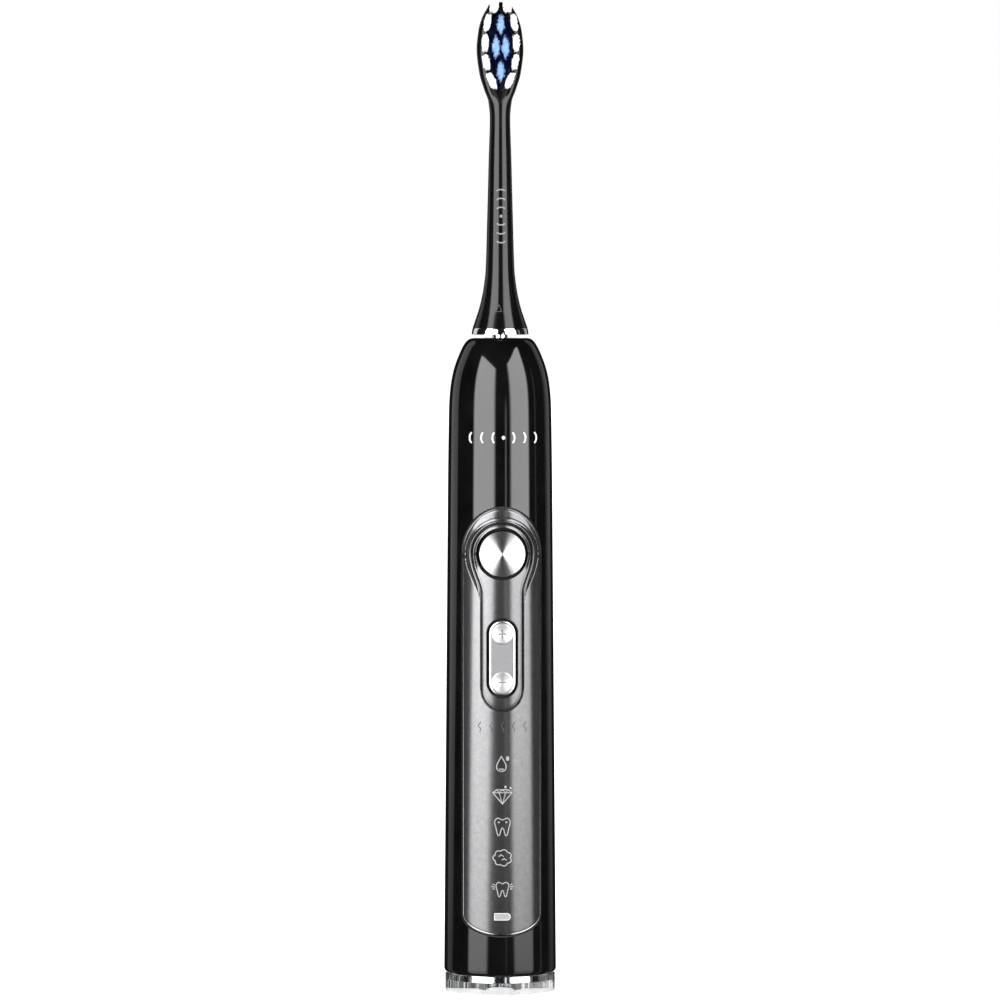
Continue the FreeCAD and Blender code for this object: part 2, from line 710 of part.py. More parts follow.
def battery_pad():
    z0 = CELL_Z[1] + TAB_T
    return cylinder(CELL_R - 0.5, z0, z0 + PAD_FOAM_T, 0, CELL_Y)


# Motor

def motor_can():
    return ring(MOTOR_R, MOTOR_R - MOTOR_WALL, MOTOR_Z[0], MOTOR_Z[1])


def end_rings(r_out, r_in):
    """A ring at each end of the motor."""
    z0, z1 = MOTOR_Z
    return Part.makeCompound([ring(r_out, r_in, z0, z0 + PLATE_T), ring(r_out, r_in, z1 - PLATE_T, z1)])


def motor_end_plates():
    return end_rings(MOTOR_R - MOTOR_WALL, BUSH_R)


def motor_bushes():
    return end_rings(BUSH_R, SHAFT_R + SHAFT_RUN)


def stator_poles(grow):
    """Four arms that point at the rotor."""
    half_w = POLE_HALF_W + grow
    z0, z1 = STATOR_Z[0] - grow, STATOR_Z[1] + grow
    arms = block(-POLE_REACH, POLE_REACH, -half_w, half_w, z0, z1)
    arms = arms.fuse(block(-half_w, half_w, -POLE_REACH, POLE_REACH, z0, z1))
    return arms.cut(cylinder(POLE_FACE_R, MOTOR_Z[0], MOTOR_Z[1]))


def stator_core():
    return fused([ring(MOTOR_R - MOTOR_WALL, STATOR_R, *STATOR_Z), stator_poles(0)])


def stator_coils():
    """Four windings, one in each corner between the poles."""
    coils = ring(*WINDING_R, *WINDING_Z).cut(stator_poles(0.1))
    gap = WINDING_SLOT
    coils = coils.cut(block(-MOTOR_R, MOTOR_R, -gap, gap, *MOTOR_Z))
    coils = coils.cut(block(-gap, gap, -MOTOR_R, MOTOR_R, *MOTOR_Z))
    return Part.makeCompound(coils.Solids)


def motor_damper():
    """The rubber sleeve between the motor and its cradle."""
    sleeve = ring(MOTOR_R + SLEEVE_T, MOTOR_R + 0.01, *CRADLE_Z)
    return sleeve.common(block(-SLEEVE_HALF_W, SLEEVE_HALF_W, -6.4, FAR, *CRADLE_Z))


def motor_leads():
    """Two wires from the board to the motor's lower end plate."""
    wires = []
    for side in (-1, 1):
        x = side * MOTOR_LEAD_X
        drop = cylinder(LEAD_R, MOTOR_LEAD_Z, MOTOR_Z[0], x, MOTOR_LEAD_Y)
        run = rod_y(LEAD_R, BOARD_FRONT_Y + BOARD_T, MOTOR_LEAD_Y, x, MOTOR_LEAD_Z)
        knee = Part.makeSphere(LEAD_R, V(x, MOTOR_LEAD_Y, MOTOR_LEAD_Z))
        wires.append(fused([drop, run, knee]))
    return Part.makeCompound(wires)


def shaft_seal():
    """The rubber collar that closes the top of the handle round the shaft."""
    tube = cylinder(SEAL_R, SEAL_FLANGE_Z[1], TOP_Z - SEAL_DROP)
    seal = fused([tube, cylinder(SEAL_FLANGE_R, *SEAL_FLANGE_Z)])
    return seal.cut(cylinder(SHAFT_R + SHAFT_RUN, MOTOR_Z[1], TOP_Z + 1))


def seal_retainer():
    return ring(RETAINER_R, CROWN_HOLE_R, CROWN_TOP_Z, SEAL_FLANGE_Z[0])


# Drive

def drive_shaft():
    """The steel shaft, with the flat that the brush head locks on and a bevelled tip."""
    top = SHAFT_Z[1] - SHAFT_BEVEL
    tip = Part.makeCone(SHAFT_R, SHAFT_R - SHAFT_BEVEL, SHAFT_BEVEL, V(0, 0, top), UP)
    shaft = fused([cylinder(SHAFT_R, SHAFT_Z[0], top), tip])
    return shaft.cut(block(-3, 3, -4, FLAT_Y, FLAT_FROM_Z, SHAFT_Z[1] + 1))


def rotor_core():
    return ring(ROTOR_R, SHAFT_R, *ROTOR_Z)


def rotor_magnets():
    """Four magnets round the rotor's core."""
    magnets = ring(MAGNET_R, ROTOR_R, *MAGNET_Z)
    magnets = magnets.cut(block(-MOTOR_R, MOTOR_R, -MAGNET_GAP, MAGNET_GAP, *MOTOR_Z))
    magnets = magnets.cut(block(-MAGNET_GAP, MAGNET_GAP, -MOTOR_R, MOTOR_R, *MOTOR_Z))
    return Part.makeCompound(magnets.Solids)


def shaft_collar():
    return ring(BUSH_R, SHAFT_R, *COLLAR_Z)


# Brush head

def section_wire(z, half_w, half_d):
    if abs(half_w - half_d) < 0.001:
        return Part.Wire([Part.Circle(V(0, 0, z), UP, half_w).toShape()])
    major, minor = max(half_w, half_d), min(half_w, half_d)
    edge = Part.Ellipse(V(0, 0, 0), major, minor).toShape()
    if half_d > half_w:
        edge.rotate(V(0, 0, 0), UP, 90)
    edge.translate(V(0, 0, z))
    return Part.Wire([edge])


def stem_form():
    """The neck and head in one smooth body, before the face for the bristles is cut."""
    wires = [section_wire(*section) for section in STEM_SECTIONS]
    return Part.makeLoft(wires, True, False)


def brush_stem(tufts):
    stem = stem_form()
    stem = stem.cut(block(-8, 8, -8, HEAD_FACE_Y, HEAD_FACE_FROM_Z, STEM_SECTIONS[-1][0] + 1))
    stem = stem.cut(cylinder(INSERT_R, TOP_Z, INSERT_TOP_Z))
    return stem.cut(tufts)


def neck_ring():
    z0, z1 = RING_Z
    cone = Part.makeCone(RING_R[0], RING_R[1], z1 - z0, V(0, 0, z0), UP)
    return cone.cut(cylinder(INSERT_R, z0 - 1, z1 + 1))


def socket_insert():
    """The sleeve that grips the shaft, closed at the top."""
    insert = cylinder(INSERT_R, RING_Z[0], INSERT_TOP_Z)
    insert = insert.cut(cylinder(SHAFT_R + SHAFT_RUN, TOP_Z, SOCKET_TOP_Z))
    return insert.cut(block(-1.0, 1.0, -2.6, -1.2, *CLIP_SLOT_Z))


def socket_clip():
    """The leaf spring that bears on the shaft's flat."""
    return block(-CLIP_HALF_W, CLIP_HALF_W, *CLIP_Y, *CLIP_Z)


def rounded_tuft(x, z, half_w, half_h, y0, y1):
    tuft = block(x - half_w, x + half_w, y0, y1, z - half_h, z + half_h)
    corners = [e for e in tuft.Edges if e.BoundBox.YLength > 5]
    return tuft.makeFillet(min(half_w, half_h) * TUFT_ROUND, corners)


def leaf_tuft(x, z, half_w, half_h, y0, y1):
    """A tuft with a pointed leaf section."""
    top, bottom = V(x, y0, z + half_h), V(x, y0, z - half_h)
    sides = [Part.Arc(top, V(x + half_w, y0, z), bottom).toShape(),
             Part.Arc(bottom, V(x - half_w, y0, z), top).toShape()]
    return Part.Face(Part.Wire(sides)).extrude(V(0, y1 - y0, 0))


def mirrored(specs):
    return [(side * x, z, w, h) for x, z, w, h in specs for side in (-1, 1)]


def tuft_layout():
    """Each colour's tufts as (x, z, half width, half height, shape)."""
    return {
        "white": [(spec, rounded_tuft) for spec in mirrored(WHITE_TUFTS)],
        "blue": [(spec, leaf_tuft) for spec in BLUE_TUFTS + mirrored([BLUE_PAIR])],
        "navy": [(spec, rounded_tuft) for spec in mirrored(NAVY_TUFTS)],
    }


def tuft_solids(colour, specs):
    tip_y = HEAD_FACE_Y - TUFT_DEPTH[colour]
    return [shape(*spec, tip_y, BRISTLE_ROOT_Y) for spec, shape in specs]


def anchor(x, z, half_w):
    """The flat pin that holds a tuft in its hole."""
    reach = half_w * 0.8
    return block(x - reach, x + reach, *ANCHOR_Y, z - ANCHOR_HALF_T, z + ANCHOR_HALF_T)


# Buttons

def power_button_cap():
    cap = rod_y(POWER_R, POWER_FRONT_Y, POWER_BACK_Y, 0, POWER_Z)
    rim = [e for e in cap.Edges if abs(e.BoundBox.YMax - POWER_FRONT_Y) < 0.01 and e.BoundBox.XLength > 5]
    cap = cap.makeChamfer(0.3, rim)
    dish = Part.makeCone(POWER_R - 0.5, 0.2, 0.35, V(0, POWER_FRONT_Y, POWER_Z), BACK)
    return cap.cut(dish)


def power_button_plunger():
    return rod_y(PLUNGER_R, POWER_BACK_Y, SWITCH_TOP_Y - BUTTON_REST_GAP, 0, POWER_Z)


def rocker_form(inset):
    """The round bar whose front the rocker's face follows."""
    return cylinder(ROCKER_FRONT_R - inset, ROCKER_Z - FAR, ROCKER_Z + FAR)


def rocker_cap():
    """The stadium-shaped key, with a web that the pin goes through and a foot at each end."""
    cap = stadium_prism(0, -15, ROCKER_BACK_Y).common(rocker_form(0))
    for pad in pad_solids():
        cap = cap.cut(pad)
    web = web_block(0, ROCKER_BACK_Y, PIVOT_Y + 1.2)
    feet = rocker_feet(FOOT_R, ROCKER_BACK_Y, SWITCH_TOP_Y - BUTTON_REST_GAP)
    return fused([cap, web] + feet).cut(rod_x(PIN_R, -6, 6, PIVOT_Y, ROCKER_Z))


def pad_solids():
    run = ROCKER_HALF_H - ROCKER_HALF_W
    return [rod_y(PAD_R, -15, -10, 0, ROCKER_Z + side * run).common(rocker_form(0)).cut(rocker_form(PAD_T))
            for side in (-1, 1)]


def rocker_pads():
    return Part.makeCompound([s for pad in pad_solids() for s in pad.Solids])


def rocker_pin():
    return rod_x(PIN_R, -PIN_HALF_L, PIN_HALF_L, PIVOT_Y, ROCKER_Z)


def build():
    icons, battery, marks = mode_icons(), battery_icon(), intensity_marks()
    windows = Part.makeCompound(icons.Solids + battery.Solids + marks.Solids)
    layout = tuft_layout()
    tufts = {colour: tuft_solids(colour, specs) for colour, specs in layout.items()}
    all_tufts = Part.makeCompound([t for solids in tufts.values() for t in solids])
    anchors = [anchor(x, z, w) for specs in layout.values() for (x, z, w, h), shape in specs]
    pins = Part.makeCompound(anchors)
    parts = {
        "handle_shell": handle_shell(),
        "control_panel": control_panel(windows),
        "panel_gasket": panel_gasket(),
        "button_bezel": button_bezel(),
        "button_membrane": button_membrane(),
        "button_frame": button_frame(),
        "mode_icons": icons,
        "battery_icon": battery,
        "intensity_marks": marks,
        "light_guide": light_guide(),
        "end_cap": end_cap(),
        "end_cap_ring": end_cap_ring(),
        "end_cap_oring": end_cap_oring(),
        "coil_bobbin": coil_bobbin(),
        "receiver_coil": receiver_coil(),
        "ferrite_core": ferrite_core(),
        "end_carrier": end_carrier(),
        "chassis_screws": chassis_screws(),
        "coil_leads": coil_leads(),
        "chassis": chassis(),
        "circuit_board": circuit_board(),
        "tact_switches": tact_switches(),
        "leds": leds(),
        "control_chip": control_chip(),
        "board_components": board_components(),
        "battery_cell": battery_cell(),
        "battery_insulator": battery_insulator(),
        "battery_tabs": battery_tabs(),
        "battery_pad": battery_pad(),
        "motor_can": motor_can(),
        "motor_end_plates": motor_end_plates(),
        "motor_bushes": motor_bushes(),
        "stator_core": stator_core(),
        "stator_coils": stator_coils(),
        "motor_damper": motor_damper(),
        "motor_leads": motor_leads(),
        "shaft_seal": shaft_seal(),
        "seal_retainer": seal_retainer(),
        "drive_shaft": drive_shaft(),
        "rotor_core": rotor_core(),
        "rotor_magnets": rotor_magnets(),
        "shaft_collar": shaft_collar(),
        "brush_stem": brush_stem(all_tufts),
        "neck_ring": neck_ring(),
        "socket_insert": socket_insert(),
        "socket_clip": socket_clip(),
        "tuft_anchors": pins,
        "power_button_cap": power_button_cap(),
        "power_button_plunger": power_button_plunger(),
        "rocker_cap": rocker_cap(),
        "rocker_pads": rocker_pads(),
        "rocker_pin": rocker_pin(),
    }
    for colour, solids in tufts.items():
        parts["tufts_" + colour] = Part.makeCompound([s for t in solids for s in t.cut(pins).Solids])
    return parts


def main():
    os.makedirs("parts", exist_ok=True)
    for name, shape in build().items():
        shape.exportStep("parts/%s.step" % name)
        print(name, len(shape.Solids), round(shape.Volume, 2), shape.isValid())


main()
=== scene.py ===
"""The looks of the sonic toothbrush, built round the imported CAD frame.

Shapes are worked out in millimetres in the frame's own axes (Z up, the front faces -Y) and turned
into metres when a mesh is made. Their places and sizes come from the CAD nodes' boxes.
"""

import json
import math
import random

import bmesh
import bpy
import numpy as np
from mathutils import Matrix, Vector


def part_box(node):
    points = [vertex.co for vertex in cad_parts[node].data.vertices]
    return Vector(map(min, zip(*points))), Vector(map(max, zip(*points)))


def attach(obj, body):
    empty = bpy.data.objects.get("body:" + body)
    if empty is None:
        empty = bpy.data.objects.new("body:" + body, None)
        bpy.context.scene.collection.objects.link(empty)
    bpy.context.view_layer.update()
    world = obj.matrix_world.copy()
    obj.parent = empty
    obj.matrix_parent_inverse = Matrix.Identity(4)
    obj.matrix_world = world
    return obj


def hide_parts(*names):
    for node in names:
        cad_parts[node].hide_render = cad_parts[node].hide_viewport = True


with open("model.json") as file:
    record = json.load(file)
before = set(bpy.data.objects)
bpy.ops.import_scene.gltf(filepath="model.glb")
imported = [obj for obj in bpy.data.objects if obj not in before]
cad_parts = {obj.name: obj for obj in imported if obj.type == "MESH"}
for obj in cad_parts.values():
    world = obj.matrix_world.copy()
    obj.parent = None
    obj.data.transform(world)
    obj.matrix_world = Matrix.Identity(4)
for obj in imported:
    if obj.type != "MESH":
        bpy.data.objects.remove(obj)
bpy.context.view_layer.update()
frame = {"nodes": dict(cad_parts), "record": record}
MM = 0.001
SEED = 7


def node_box(name):
    """A CAD node's box in millimetres, as two arrays."""
    low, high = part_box(name)
    return np.array(low) / MM, np.array(high) / MM


SHELL_LOW, SHELL_HIGH = node_box("handle_shell")
PANEL_LOW, PANEL_HIGH = node_box("control_panel")
POWER_LOW, POWER_HIGH = node_box("power_button_cap")
ROCKER_LOW, ROCKER_HIGH = node_box("rocker_cap")
BEZEL_LOW, BEZEL_HIGH = node_box("button_bezel")
CAP_HIGH = node_box("end_cap")[1]
CHROME_LOW, CHROME_HIGH = node_box("end_cap_ring")
RING_LOW, RING_HIGH = node_box("neck_ring")
STEM_LOW, STEM_HIGH = node_box("brush_stem")
INSERT_HIGH = node_box("socket_insert")[1]

# Handle outline
BASE_R = 14.0
TAPER = 0.008
TAPER_FROM_Z = SHELL_LOW[2] + 2.5
SHOULDER_Z = 128.6
SHOULDER = [(12.84, 143.6), (12.5, 151.1), (11.6, 156.1), (9.72, 161.1)]
TOP_R = 7.5
TOP_Z = SHELL_HIGH[2]
BOTTOM_Z = SHELL_LOW[2]
EDGE_R = 1.0
WALL = 1.8
BORE_R = 12.1
BORE_TOP_Z = 17.5
SEAL_HOLE_R = 4.6

# Panel and buttons
PANEL_HALF_W = PANEL_HIGH[0]
PANEL_T = 1.0
POWER_Z = (POWER_LOW[2] + POWER_HIGH[2]) / 2
POWER_R = POWER_HIGH[0]
POWER_GAP = 0.43
PANEL_TOP_RISE = PANEL_HIGH[2] - POWER_Z
PANEL_BOTTOM_RISE = 5.2
PANEL_SIDE_Z = PANEL_LOW[2] + PANEL_BOTTOM_RISE
GASKET_W = 0.35
ROCKER_Z = (ROCKER_LOW[2] + ROCKER_HIGH[2]) / 2
ROCKER_HALF_W = ROCKER_HIGH[0]
ROCKER_RUN = (ROCKER_HIGH[2] - ROCKER_LOW[2]) / 2 - ROCKER_HALF_W
ROCKER_GAP = 0.45
ROCKER_R = 13.6
KEYHOLE_R = BEZEL_HIGH[0]
KEYHOLE_HALF_W = 5.3
KEYHOLE_FOOT_Z = BEZEL_LOW[2] + KEYHOLE_HALF_W
KEYHOLE_BLEND = 5.0


# Mesh making

def mesh_object(name, verts_mm, faces, sharp_deg=35.0):
    """An object from points in millimetres and faces, smooth but for edges sharper than the angle."""
    mesh = bpy.data.meshes.new(name)
    verts = np.asarray(verts_mm, float) * MM
    sizes = np.array([len(f) for f in faces], np.int32)
    loops = np.concatenate([np.ravel(faces)] if isinstance(faces, np.ndarray) else faces).astype(np.int32)
    mesh.vertices.add(len(verts))
    mesh.vertices.foreach_set("co", verts.astype(np.float32).ravel())
    mesh.loops.add(len(loops))
    mesh.loops.foreach_set("vertex_index", loops)
    mesh.polygons.add(len(sizes))
    starts = np.concatenate([[0], np.cumsum(sizes)[:-1]]).astype(np.int32)
    mesh.polygons.foreach_set("loop_start", starts)
    mesh.update(calc_edges=True)
    mesh.validate()
    mesh.polygons.foreach_set("use_smooth", np.ones(len(mesh.polygons), bool))
    mesh.set_sharp_from_angle(angle=math.radians(sharp_deg))
    obj = bpy.data.objects.new(name, mesh)
    bpy.context.scene.collection.objects.link(obj)
    return obj


def finish(obj, body, slot, material, *nodes):
    """Gives a piece its material and its body, and hides the CAD nodes that it stands for."""
    obj.data.materials.clear()
    obj.data.materials.append(material)
    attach(obj, body)
    if nodes:
        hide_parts(*nodes)
    return obj


def paint_faces(obj, material, chosen):
    """Gives a second material to the faces whose middles are chosen by (x, y, z) in millimetres."""
    obj.data.materials.append(material)
    count = len(obj.data.polygons)
    middles = np.zeros(count * 3)
    obj.data.polygons.foreach_get("center", middles)
    middles = middles.reshape(-1, 3) / MM
    index = np.where(chosen(*middles.T), 1, 0).astype(np.int32)
    obj.data.polygons.foreach_set("material_index", index)


# Distance fields, negative inside, in millimetres on the front plane (x, z)

def sd_circle(x, z, cx, cz, r):
    return np.hypot(x - cx, z - cz) - r


def sd_box(x, z, cx, cz, hw, hh):
    dx, dz = np.abs(x - cx) - hw, np.abs(z - cz) - hh
    return np.hypot(np.maximum(dx, 0), np.maximum(dz, 0)) + np.minimum(np.maximum(dx, dz), 0)


def sd_ellipse(x, z, cz, rx, rz):
    k = np.hypot(x / rx, (z - cz) / rz)
    slope = np.hypot(x / rx ** 2, (z - cz) / rz ** 2)
    return k * (k - 1) / np.maximum(slope, 1e-6)


def sd_segment(x, z, p, q):
    dx, dz = q[0] - p[0], q[1] - p[1]
    length2 = max(dx * dx + dz * dz, 1e-12)
    t = np.clip(((x - p[0]) * dx + (z - p[1]) * dz) / length2, 0, 1)
    return np.hypot(x - p[0] - t * dx, z - p[1] - t * dz)


def sd_line(x, z, points, width, closed=False):
    """A pen stroke of that width along the points."""
    pairs = list(zip(points, points[1:] + (points[:1] if closed else [])))
    d = np.full(np.shape(x), 1e9)
    for p, q in pairs:
        d = np.minimum(d, sd_segment(x, z, p, q))
    return d - width / 2


def round_union(a, b, r):
    """The union of two fields with the inner corner filled to radius r."""
    ua, ub = np.maximum(r - a, 0), np.maximum(r - b, 0)
    return np.maximum(r, np.minimum(a, b)) - np.hypot(ua, ub)


def sd_panel(x, z):
    top = sd_ellipse(x, z, POWER_Z, PANEL_HALF_W, PANEL_TOP_RISE)
    bottom = sd_ellipse(x, z, PANEL_SIDE_Z, PANEL_HALF_W, PANEL_BOTTOM_RISE)
    sides = np.abs(x) - PANEL_HALF_W
    return np.where(z > POWER_Z, top, np.where(z < PANEL_SIDE_Z, bottom, sides))


def sd_keyhole(x, z):
    head = sd_circle(x, z, 0, POWER_Z, KEYHOLE_R)
    slot = sd_segment(x, z, (0, KEYHOLE_FOOT_Z), (0, POWER_Z)) - KEYHOLE_HALF_W
    return round_union(head, slot, KEYHOLE_BLEND)


def sd_power(x, z):
    return sd_circle(x, z, 0, POWER_Z, POWER_R)


def sd_rocker(x, z):
    return sd_segment(x, z, (0, ROCKER_Z - ROCKER_RUN), (0, ROCKER_Z + ROCKER_RUN)) - ROCKER_HALF_W


# Surfaces of the handle

def hermite(knots, values, slopes, at):
    """The cubic pieces through knots with those values and slopes, worked out at other places."""
    k = np.clip(np.searchsorted(knots, at, side="right") - 1, 0, len(knots) - 2)
    h = np.diff(knots)[k]
    t = (at - knots[k]) / h
    return ((2 * t ** 3 - 3 * t ** 2 + 1) * values[k] + (t ** 3 - 2 * t ** 2 + t) * h * slopes[k]
            + (-2 * t ** 3 + 3 * t ** 2) * values[k + 1] + (t ** 3 - t ** 2) * h * slopes[k + 1])


def spline_curve(points, start_slope, end_slope, count):
    """A curve with smooth curvature through points, by cubic splines over the chord length."""
    pts = np.array(points, float)
    h = np.hypot(*np.diff(pts, axis=0).T)
    t = np.concatenate([[0], np.cumsum(h)])
    n = len(pts)
    out = []
    for y, first, last in zip(pts.T, start_slope, end_slope):
        a, b = np.zeros((n, n)), np.zeros(n)
        a[0, 0] = a[-1, -1] = 1
        b[0], b[-1] = first, last
        for i in range(1, n - 1):
            a[i, i - 1:i + 2] = 1 / h[i - 1], 2 * (1 / h[i - 1] + 1 / h[i]), 1 / h[i]
            b[i] = 3 * ((y[i] - y[i - 1]) / h[i - 1] ** 2 + (y[i + 1] - y[i]) / h[i] ** 2)
        out.append(hermite(t, y, np.linalg.solve(a, b), np.linspace(0, t[-1], count)))
    return np.array(out).T


def monotone_curve(knots, values, at):
    """Cubic interpolation with monotone slopes, so that it doesn't overshoot."""
    s = np.diff(values) / np.diff(knots)
    product = s[:-1] * s[1:]
    inner = np.divide(2 * product, s[:-1] + s[1:], out=np.zeros_like(product), where=product > 0)
    return hermite(knots, values, np.concatenate([s[:1], inner, s[-1:]]), at)


def straight_radius(z):
    return BASE_R - TAPER * (z - TAPER_FROM_Z)


SHOULDER_END_SLOPE = (-0.876, 0.482)
SHOULDER_CURVE = spline_curve([(straight_radius(SHOULDER_Z), SHOULDER_Z)] + SHOULDER + [(TOP_R, TOP_Z)],
                              (-TAPER, 1.0), SHOULDER_END_SLOPE, 160)


def handle_radius(z):
    """The handle's outside radius at any height."""
    z = np.asarray(z, float)
    shoulder = np.interp(z, SHOULDER_CURVE[:, 1], SHOULDER_CURVE[:, 0])
    return np.where(z < SHOULDER_Z, straight_radius(z), shoulder)


def front_points(x, z, inset):
    """Points on the front of the handle, that far inside its surface."""
    r = handle_radius(z) - inset
    return np.stack([x, -np.sqrt(np.maximum(r ** 2 - x ** 2, 0)), z], -1)


# Solids that follow distance fields

def snap_to_levels(x, z, field, levels, step):
    """Moves the grid points nearest to each level of the field onto it. Returns the points and a mask."""
    on = np.zeros(x.shape, bool)
    eps = step * 0.02
    for level in levels:
        near = None
        for _ in range(3):
            d = field(x, z) - level
            gx = (field(x + eps, z) - field(x - eps, z)) / (2 * eps)
            gz = (field(x, z + eps) - field(x, z - eps)) / (2 * eps)
            g2 = np.maximum(gx ** 2 + gz ** 2, 0.05)
            if near is None:
                near = (np.abs(d) < 0.51 * step * np.maximum(np.abs(gx), np.abs(gz))) & ~on
            x = np.where(near, x - d * gx / g2, x)
            z = np.where(near, z - d * gz / g2, z)
        on |= near
    return x, z, on


def split_squares(corners, on):
    """Two triangles for each square of a grid. The cut joins points that lie on an outline."""
    a, b, c, d = (corner.ravel() for corner in corners)
    use_bd = (on[b] & on[d] & ~(on[a] & on[c]))[:, None]
    first = np.where(use_bd, np.stack([a, b, d], 1), np.stack([a, b, c], 1))
    second = np.where(use_bd, np.stack([b, c, d], 1), np.stack([a, c, d], 1))
    return np.concatenate([first, second])


def grid_triangles(x, z, field, on, step):
    """The triangles of a snapped grid that lie inside the field's outline."""
    index = np.arange(x.size).reshape(x.shape)
    flat_x, flat_z = x.ravel(), z.ravel()
    on_flat = on.ravel() & (np.abs(field(flat_x, flat_z)) < 0.1 * step)
    tris = split_squares((index[:-1, :-1], index[:-1, 1:], index[1:, 1:], index[1:, :-1]), on_flat)
    middle = field(flat_x[tris].mean(1), flat_z[tris].mean(1))
    (x0, x1, x2), (z0, z1, z2) = flat_x[tris].T, flat_z[tris].T
    area = (x1 - x0) * (z2 - z0) - (x2 - x0) * (z1 - z0)
    return tris[(middle < 0) & (np.abs(area) > 1e-7)]


def rim_edges(tris):
    """The directed edges that only one triangle has."""
    edges = np.concatenate([tris[:, [0, 1]], tris[:, [1, 2]], tris[:, [2, 0]]])
    keys = np.sort(edges, axis=1)
    order = np.lexsort((keys[:, 1], keys[:, 0]))
    sorted_keys = keys[order]
    same = np.zeros(len(edges), bool)
    equal = (sorted_keys[1:] == sorted_keys[:-1]).all(1)
    same[1:] |= equal
    same[:-1] |= equal
    return edges[order[~same]]


def wall_faces(rim, upper, lower):
    """Two triangles for each rim edge, from one layer of points down to another."""
    return [np.stack([rim[:, 1] + upper, rim[:, 0] + upper, rim[:, 0] + lower], 1),
            np.stack([rim[:, 1] + upper, rim[:, 0] + lower, rim[:, 1] + lower], 1)]


def slab(name, field, box, step, levels, front, back, sharp_deg=35.0):
    """A closed solid over the inside of a field, between a front and a back surface.

    front and back turn (x, z) arrays into points. The grid follows the field's outline and levels.
    """
    x0, x1, z0, z1 = box
    xs = np.linspace(x0, x1, max(3, int(round((x1 - x0) / step)) + 1))
    zs = np.linspace(z0, z1, max(3, int(round((z1 - z0) / step)) + 1))
    x, z = np.meshgrid(xs, zs)
    cell = max(xs[1] - xs[0], zs[1] - zs[0])
    x, z, on = snap_to_levels(x, z, field, levels, cell)
    tris = grid_triangles(x, z, field, on, cell)
    used, tris = np.unique(tris, return_inverse=True)
    tris = tris.reshape(-1, 3)
    x, z = x.ravel()[used], z.ravel()[used]
    n = len(used)
    verts = np.concatenate([front(x, z), back(x, z)])
    faces = np.concatenate([tris, tris[:, ::-1] + n] + wall_faces(rim_edges(tris), 0, n))
    return mesh_object(name, verts, faces, sharp_deg)


def bevel_inset(d, width, depth):
    """How far an edge is rounded over, at distance d inside the outline."""
    t = np.clip(1 + d / width, 0, 1)
    return depth * (1 - np.sqrt(np.maximum(1 - t ** 2, 0)))


def smooth_step(t):
    t = np.clip(t, 0, 1)
    return t * t * (3 - 2 * t)


def lathe(name, outline, segments=192, sharp_deg=30.0, axis="Z", origin=(0, 0, 0)):
    """A closed solid of revolution from a closed outline of (radius, height) points."""
    pts = np.array(outline, float)
    angles = np.linspace(0, 2 * math.pi, segments, endpoint=False)
    rings = len(pts)
    r, h = pts[:, 0][:, None], pts[:, 1][:, None]
    a, b = r * np.cos(angles), r * np.sin(angles)
    level = np.broadcast_to(h, a.shape)
    verts = np.stack([a, b, level] if axis == "Z" else [a, level, -b], -1).reshape(-1, 3) + origin
    i = np.arange(rings)[:, None] * segments
    j = np.roll(i, -1, axis=0)
    k = np.arange(segments)[None, :]
    k2 = (k + 1) % segments
    quads = np.stack([i + k, i + k2, j + k2, j + k], -1).reshape(-1, 4)
    obj = mesh_object(name, verts, quads, sharp_deg)
    weld_and_orient(obj)
    obj.data.set_sharp_from_angle(angle=math.radians(sharp_deg))
    return obj


def weld_and_orient(obj):
    """Merges points on the axis and turns all faces outwards."""
    bm = bmesh.new()
    bm.from_mesh(obj.data)
    bmesh.ops.remove_doubles(bm, verts=bm.verts, dist=1e-7)
    bmesh.ops.dissolve_degenerate(bm, dist=1e-8, edges=bm.edges)
    bmesh.ops.recalc_face_normals(bm, faces=bm.faces)
    bm.to_mesh(obj.data)
    bm.free()


# Materials

MICRON = 1e-6
# Painted shade on the grey panel: its half width, and the share of the colour left at its right side
PAINTED_SHADE_HALF_W = 6.0
PAINTED_SHADE_RIGHT = 0.68
# Strength of the painted light: the glow given to the foot's frosted band
FROST_PAINTED_GLOW = 0.55
CLEAR_IOR = 1.49
WIRE_PITCH = 250


def feed(tree, target, inputs):
    """Sets a node's inputs; each is a value or another node's output."""
    for socket, value in inputs.items():
        if isinstance(value, bpy.types.NodeSocket):
            tree.links.new(value, target.inputs[socket])
        else:
            target.inputs[socket].default_value = value


def node(tree, kind, inputs, **settings):
    """A new shader node with its settings and inputs."""
    made = tree.nodes.new("ShaderNode" + kind)
    for setting, value in settings.items():
        setattr(made, setting, value)
    feed(tree, made, inputs)
    return made


def new_material(name):
    mat = bpy.data.materials.new(name)
    mat.use_nodes = True
    return mat, mat.node_tree


def paint(tree, inputs):
    """Sets the inputs of the material's own shader."""
    feed(tree, tree.nodes["Principled BSDF"], inputs)


def object_axes(tree):
    """The place on the object, as three numbers."""
    coords = node(tree, "TexCoord", {}).outputs["Object"]
    return node(tree, "SeparateXYZ", {"Vector": coords}).outputs


def object_place(tree, scale=(1, 1, 1), turn=(0, 0, 0)):
    """The place on the object, turned and stretched."""
    coords = node(tree, "TexCoord", {}).outputs["Object"]
    return node(tree, "Mapping", {"Vector": coords, "Scale": scale, "Rotation": turn}).outputs["Vector"]


def noise(tree, vector, scale, detail=3.0):
    inputs = {"Vector": vector, "Scale": scale, "Detail": detail, "Roughness": 0.55}
    return node(tree, "TexNoise", inputs).outputs["Fac"]


def ramp(tree, fac, low, high, start=0.3, end=0.7):
    """A colour ramp from the low to the high colour."""
    made = node(tree, "ValToRGB", {"Fac": fac})
    first, last = made.color_ramp.elements
    first.position, last.position = start, end
    first.color, last.color = (*low, 1), (*high, 1)
    return made.outputs["Color"]


